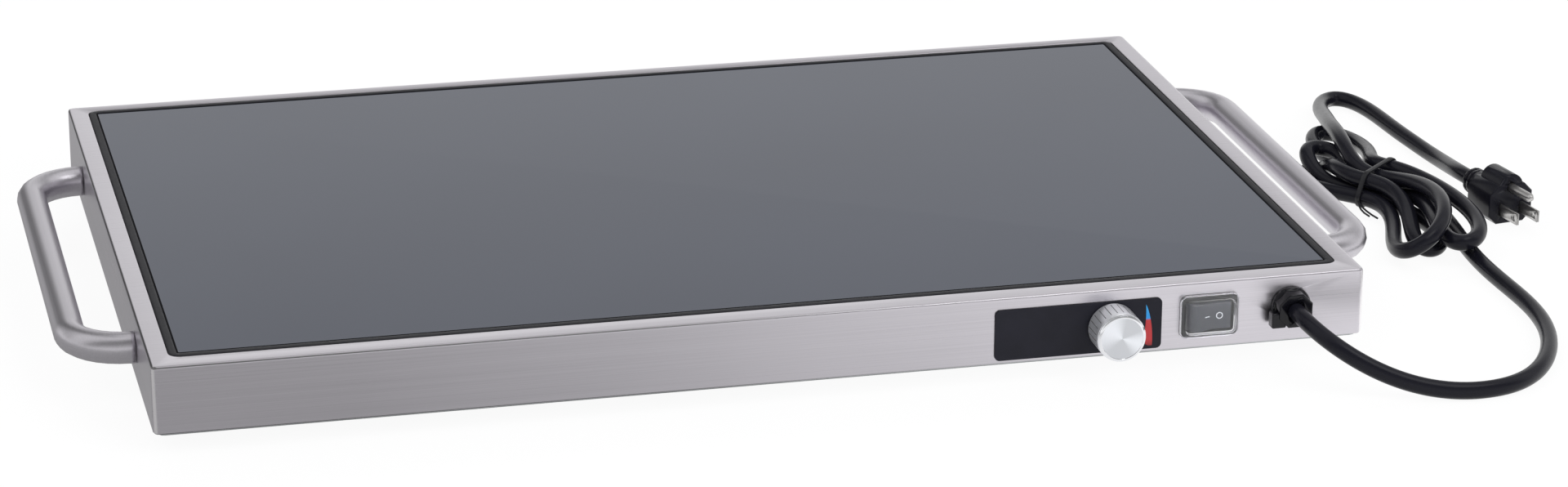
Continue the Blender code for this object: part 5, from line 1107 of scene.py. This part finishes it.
HEAT_SCALE_TOP = 10.4 * MM  # from the overlay's middle up
HEAT_SCALE_BOTTOM = -11.6 * MM
HEAT_SCALE_TIP = 17.7 * MM  # right of the knob's axis
HEAT_SCALE_SWAY = 3.7 * MM
HEAT_SCALE_WIDTH = 3.7 * MM
HEAT_SCALE_PROUD = 0.04 * MM
HEAT_SCALE_STEPS = 28
HEAT_SCALE_SWITCH = 0.36  # share of its height where blue turns to red


def make_heat_scale(finishes):
    """The tapering printed scale beside the knob, blue at its thin end and red below."""
    material, nodes = new_material("heat_scale")
    height = nodes.add("ShaderNodeSeparateXYZ", {"Vector": nodes.place()}).outputs["Z"]
    middle = (OVERLAY_LOW.z + OVERLAY_HIGH.z) / 2
    top, bottom = middle + HEAT_SCALE_TOP, middle + HEAT_SCALE_BOTTOM
    reach = {"Value": height, "From Min": top, "From Max": bottom}
    down = nodes.add("ShaderNodeMapRange", reach).outputs["Result"]
    step = HEAT_SCALE_SWITCH
    colour = nodes.ramp(
        down,
        (0.0, (0.02, 0.30, 0.62)),
        (step - 0.02, (0.01, 0.24, 0.60)),
        (step + 0.02, (0.42, 0.022, 0.026)),
        (0.86, (0.42, 0.022, 0.026)),
        (1.0, (0.20, 0.012, 0.015)),
    )
    fine = nodes.noise(nodes.place(), 2500.0)
    inputs = {
        "Base Color": colour,
        "Roughness": nodes.spread(fine, 0.3, 0.4),
        "Normal": nodes.bump(fine, 0.2, 0.01 * MM),
    }
    close_material(nodes, inputs)
    bm = bmesh.new()
    face_y = OVERLAY_LOW.y - HEAT_SCALE_PROUD
    rows = []
    for number in range(HEAT_SCALE_STEPS + 1):
        share = number / HEAT_SCALE_STEPS
        outer = HEAT_SCALE_TIP + HEAT_SCALE_SWAY * math.sin(math.radians(100) * share**0.8)
        end = math.sqrt(max(0.0, 1 - max(0.0, (share - 0.94) / 0.06) ** 2))
        width = HEAT_SCALE_WIDTH * min(1.0, (share / 0.62) ** 0.8) * (0.55 + 0.45 * end)
        z = middle + HEAT_SCALE_TOP + (HEAT_SCALE_BOTTOM - HEAT_SCALE_TOP) * share
        x = KNOB_MIDDLE.x + outer
        rows.append([bm.verts.new((x - width, face_y, z)), bm.verts.new((x, face_y, z))])
    for above, below in zip(rows, rows[1:]):
        bm.faces.new((above[0], below[0], below[1], above[1]))
    piece = mesh_piece("heat_scale", bm, material, smooth=False)
    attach(piece, "tray")


# Floor, lights and camera


FLOOR_SIZE = 30.0
FLOOR_DROP = 0.2 * MM  # under the feet, which touch z = 0
FLOOR_GLOW = 0.93  # how much of the floor's look is plain white to rays that see it
WORLD_FILL = 0.60
SHEEN_LEFT = -0.25  # across the floor, from where to where the light it gives the steel grows
SHEEN_RIGHT = 0.36
SHEEN_LOW = 0.36
# What steel and glass mirror, from the back's horizon over the top to the front's, as a half turn
STUDIO_ARCH = (
    (0.00, 0.97),
    (0.09, 0.94),
    (0.125, 0.76),
    (0.16, 0.55),
    (0.22, 0.36),
    (0.29, 0.50),
    (0.35, 0.95),
    (0.40, 0.85),
    (0.50, 0.45),
    (0.62, 0.20),
    (0.70, 0.20),
    (0.82, 0.42),
    (0.93, 0.90),
    (1.00, 1.00),
)
DARK_PANEL = (-0.68, -0.40, -0.26, -0.03)  # left of the back: headings where it ends and starts
DARK_PANEL_LEVEL = 0.12


def seen_rays(nodes):
    """1 for glossy rays, and 1 for camera and transmission rays."""
    path = nodes.add("ShaderNodeLightPath")
    clear = nodes.math("MAXIMUM", path.outputs["Is Camera Ray"], path.outputs["Is Transmission Ray"])
    return path.outputs["Is Glossy Ray"], clear


def make_world():
    """A white studio, dark overhead and towards the left of the back."""
    world = bpy.data.worlds.new("studio")
    bpy.context.scene.world = world
    world.use_nodes = True
    nodes = Nodes(world.node_tree)
    toward = nodes.add("ShaderNodeTexCoord").outputs["Generated"]
    sides = nodes.add("ShaderNodeSeparateXYZ", {"Vector": toward}).outputs
    up = sides["Z"]
    turn = nodes.math("DIVIDE", nodes.math("ARCTAN2", up, sides["Y"]), math.pi)
    arch = nodes.ramp(turn, *STUDIO_ARCH)
    level = nodes.math("SQRT", nodes.math("SUBTRACT", 1.0001, nodes.math("MULTIPLY", up, up)))
    arch = nodes.blend(nodes.span(nodes.math("ABSOLUTE", up), 0.03, 0.20), 0.97, arch)
    arch = nodes.blend(nodes.span(nodes.math("ABSOLUTE", sides["Y"]), 0.10, 0.35), 0.80, arch)
    heading = nodes.math("DIVIDE", sides["X"], level)
    outer = nodes.span(heading, *DARK_PANEL[:2], 1.0, 0.0)
    inner = nodes.span(heading, *DARK_PANEL[2:])
    lit = nodes.math("MAXIMUM", outer, inner)
    lit = nodes.math("MAXIMUM", lit, nodes.span(sides["Y"], 0.4, 0.1))
    mirrored = nodes.blend(lit, DARK_PANEL_LEVEL, arch)
    glossy, clear = seen_rays(nodes)
    seen = nodes.blend(clear, nodes.blend(glossy, WORLD_FILL, mirrored), 1.0)
    background = nodes.add("ShaderNodeBackground", {"Color": seen, "Strength": 1.0})
    nodes.add("ShaderNodeOutputWorld", {"Surface": background.outputs["Background"]})


def make_floor():
    """A pale floor; what the steel mirrors of it falls off towards the left."""
    material, nodes = new_material("pale_floor")
    diffuse = nodes.add("ShaderNodeBsdfDiffuse", {"Color": (0.90, 0.90, 0.91, 1.0)})
    glossy, clear = seen_rays(nodes)
    across = nodes.add("ShaderNodeSeparateXYZ", {"Vector": nodes.place()}).outputs["X"]
    sheen = nodes.span(across, SHEEN_LEFT, SHEEN_RIGHT, SHEEN_LOW, 1.0)
    strength = nodes.math("MAXIMUM", clear, sheen)
    glow = nodes.add("ShaderNodeEmission", {"Color": (1.0, 1.0, 1.0, 1.0), "Strength": strength})
    share = nodes.math("MULTIPLY", nodes.math("MAXIMUM", clear, glossy), FLOOR_GLOW)
    mixed = nodes.add("ShaderNodeMixShader", {0: share, 1: diffuse.outputs[0], 2: glow.outputs[0]})
    nodes.add("ShaderNodeOutputMaterial", {"Surface": mixed.outputs[0]})
    bm = bmesh.new()
    bmesh.ops.create_grid(bm, x_segments=1, y_segments=1, size=FLOOR_SIZE / 2)
    floor = mesh_piece("floor", bm, material, smooth=False)
    floor.location.z = -FLOOR_DROP


def area_light(name, place, target, size, energy, shines=True):
    light = bpy.data.lights.new(name, "AREA")
    light.shape = "RECTANGLE"
    light.size, light.size_y = size
    light.energy = energy
    obj = bpy.data.objects.new(name, light)
    bpy.context.scene.collection.objects.link(obj)
    obj.location = place
    obj.rotation_euler = (Vector(target) - Vector(place)).to_track_quat("-Z", "Y").to_euler()
    obj.visible_glossy = shines


def make_lights():
    area_light("key", (1.6, -1.9, 1.5), (0.1, 0.0, 0.0), (2.4, 1.6), 42, shines=False)
    area_light("glint", (0.8, -0.7, 2.1), (0.1, 0.0, 0.0), (1.3, 0.9), 7)
    area_light("fill", (-1.8, -0.8, 1.9), (0.0, 0.0, 0.0), (1.8, 1.4), 18, shines=False)
    area_light("back", (0.2, 2.0, 1.8), (0.0, 0.0, 0.0), (2.4, 1.0), 22, shines=False)


def make_camera():
    azimuth, elevation = math.radians(CAMERA_AZIMUTH), math.radians(CAMERA_ELEVATION)
    level = math.cos(elevation)
    back = Vector((math.sin(azimuth) * level, -math.cos(azimuth) * level, math.sin(elevation)))
    right = Vector((math.cos(azimuth), math.sin(azimuth), 0.0))
    turn = Matrix((right, back.cross(right), back)).transposed()
    roll = Matrix.Rotation(math.radians(CAMERA_ROLL), 3, "Z")
    camera = bpy.data.cameras.new("camera")
    camera.lens = CAMERA_LENS
    camera.sensor_width = SENSOR_WIDTH
    camera.sensor_fit = "HORIZONTAL"
    camera.clip_start, camera.clip_end = 0.05, 60.0
    obj = bpy.data.objects.new("camera", camera)
    bpy.context.scene.collection.objects.link(obj)
    place = Vector(CAMERA_PLACE) + Vector((BODY_MIDDLE.x, BODY_MIDDLE.y, 0.0))
    obj.matrix_world = Matrix.Translation(place) @ (turn @ roll).to_4x4()
    bpy.context.scene.camera = obj


def main():
    finishes = make_finishes()
    make_camera()
    make_world()
    make_floor()
    make_lights()
    dress_nodes(finishes)
    make_cord(finishes)
    make_tie(finishes)
    make_bead(finishes)
    make_screws(finishes)
    make_knob(finishes)
    make_boot(finishes)
    make_rocker_marks(finishes)
    make_heat_scale(finishes)
    bpy.context.scene.view_settings.view_transform = "Standard"


main()
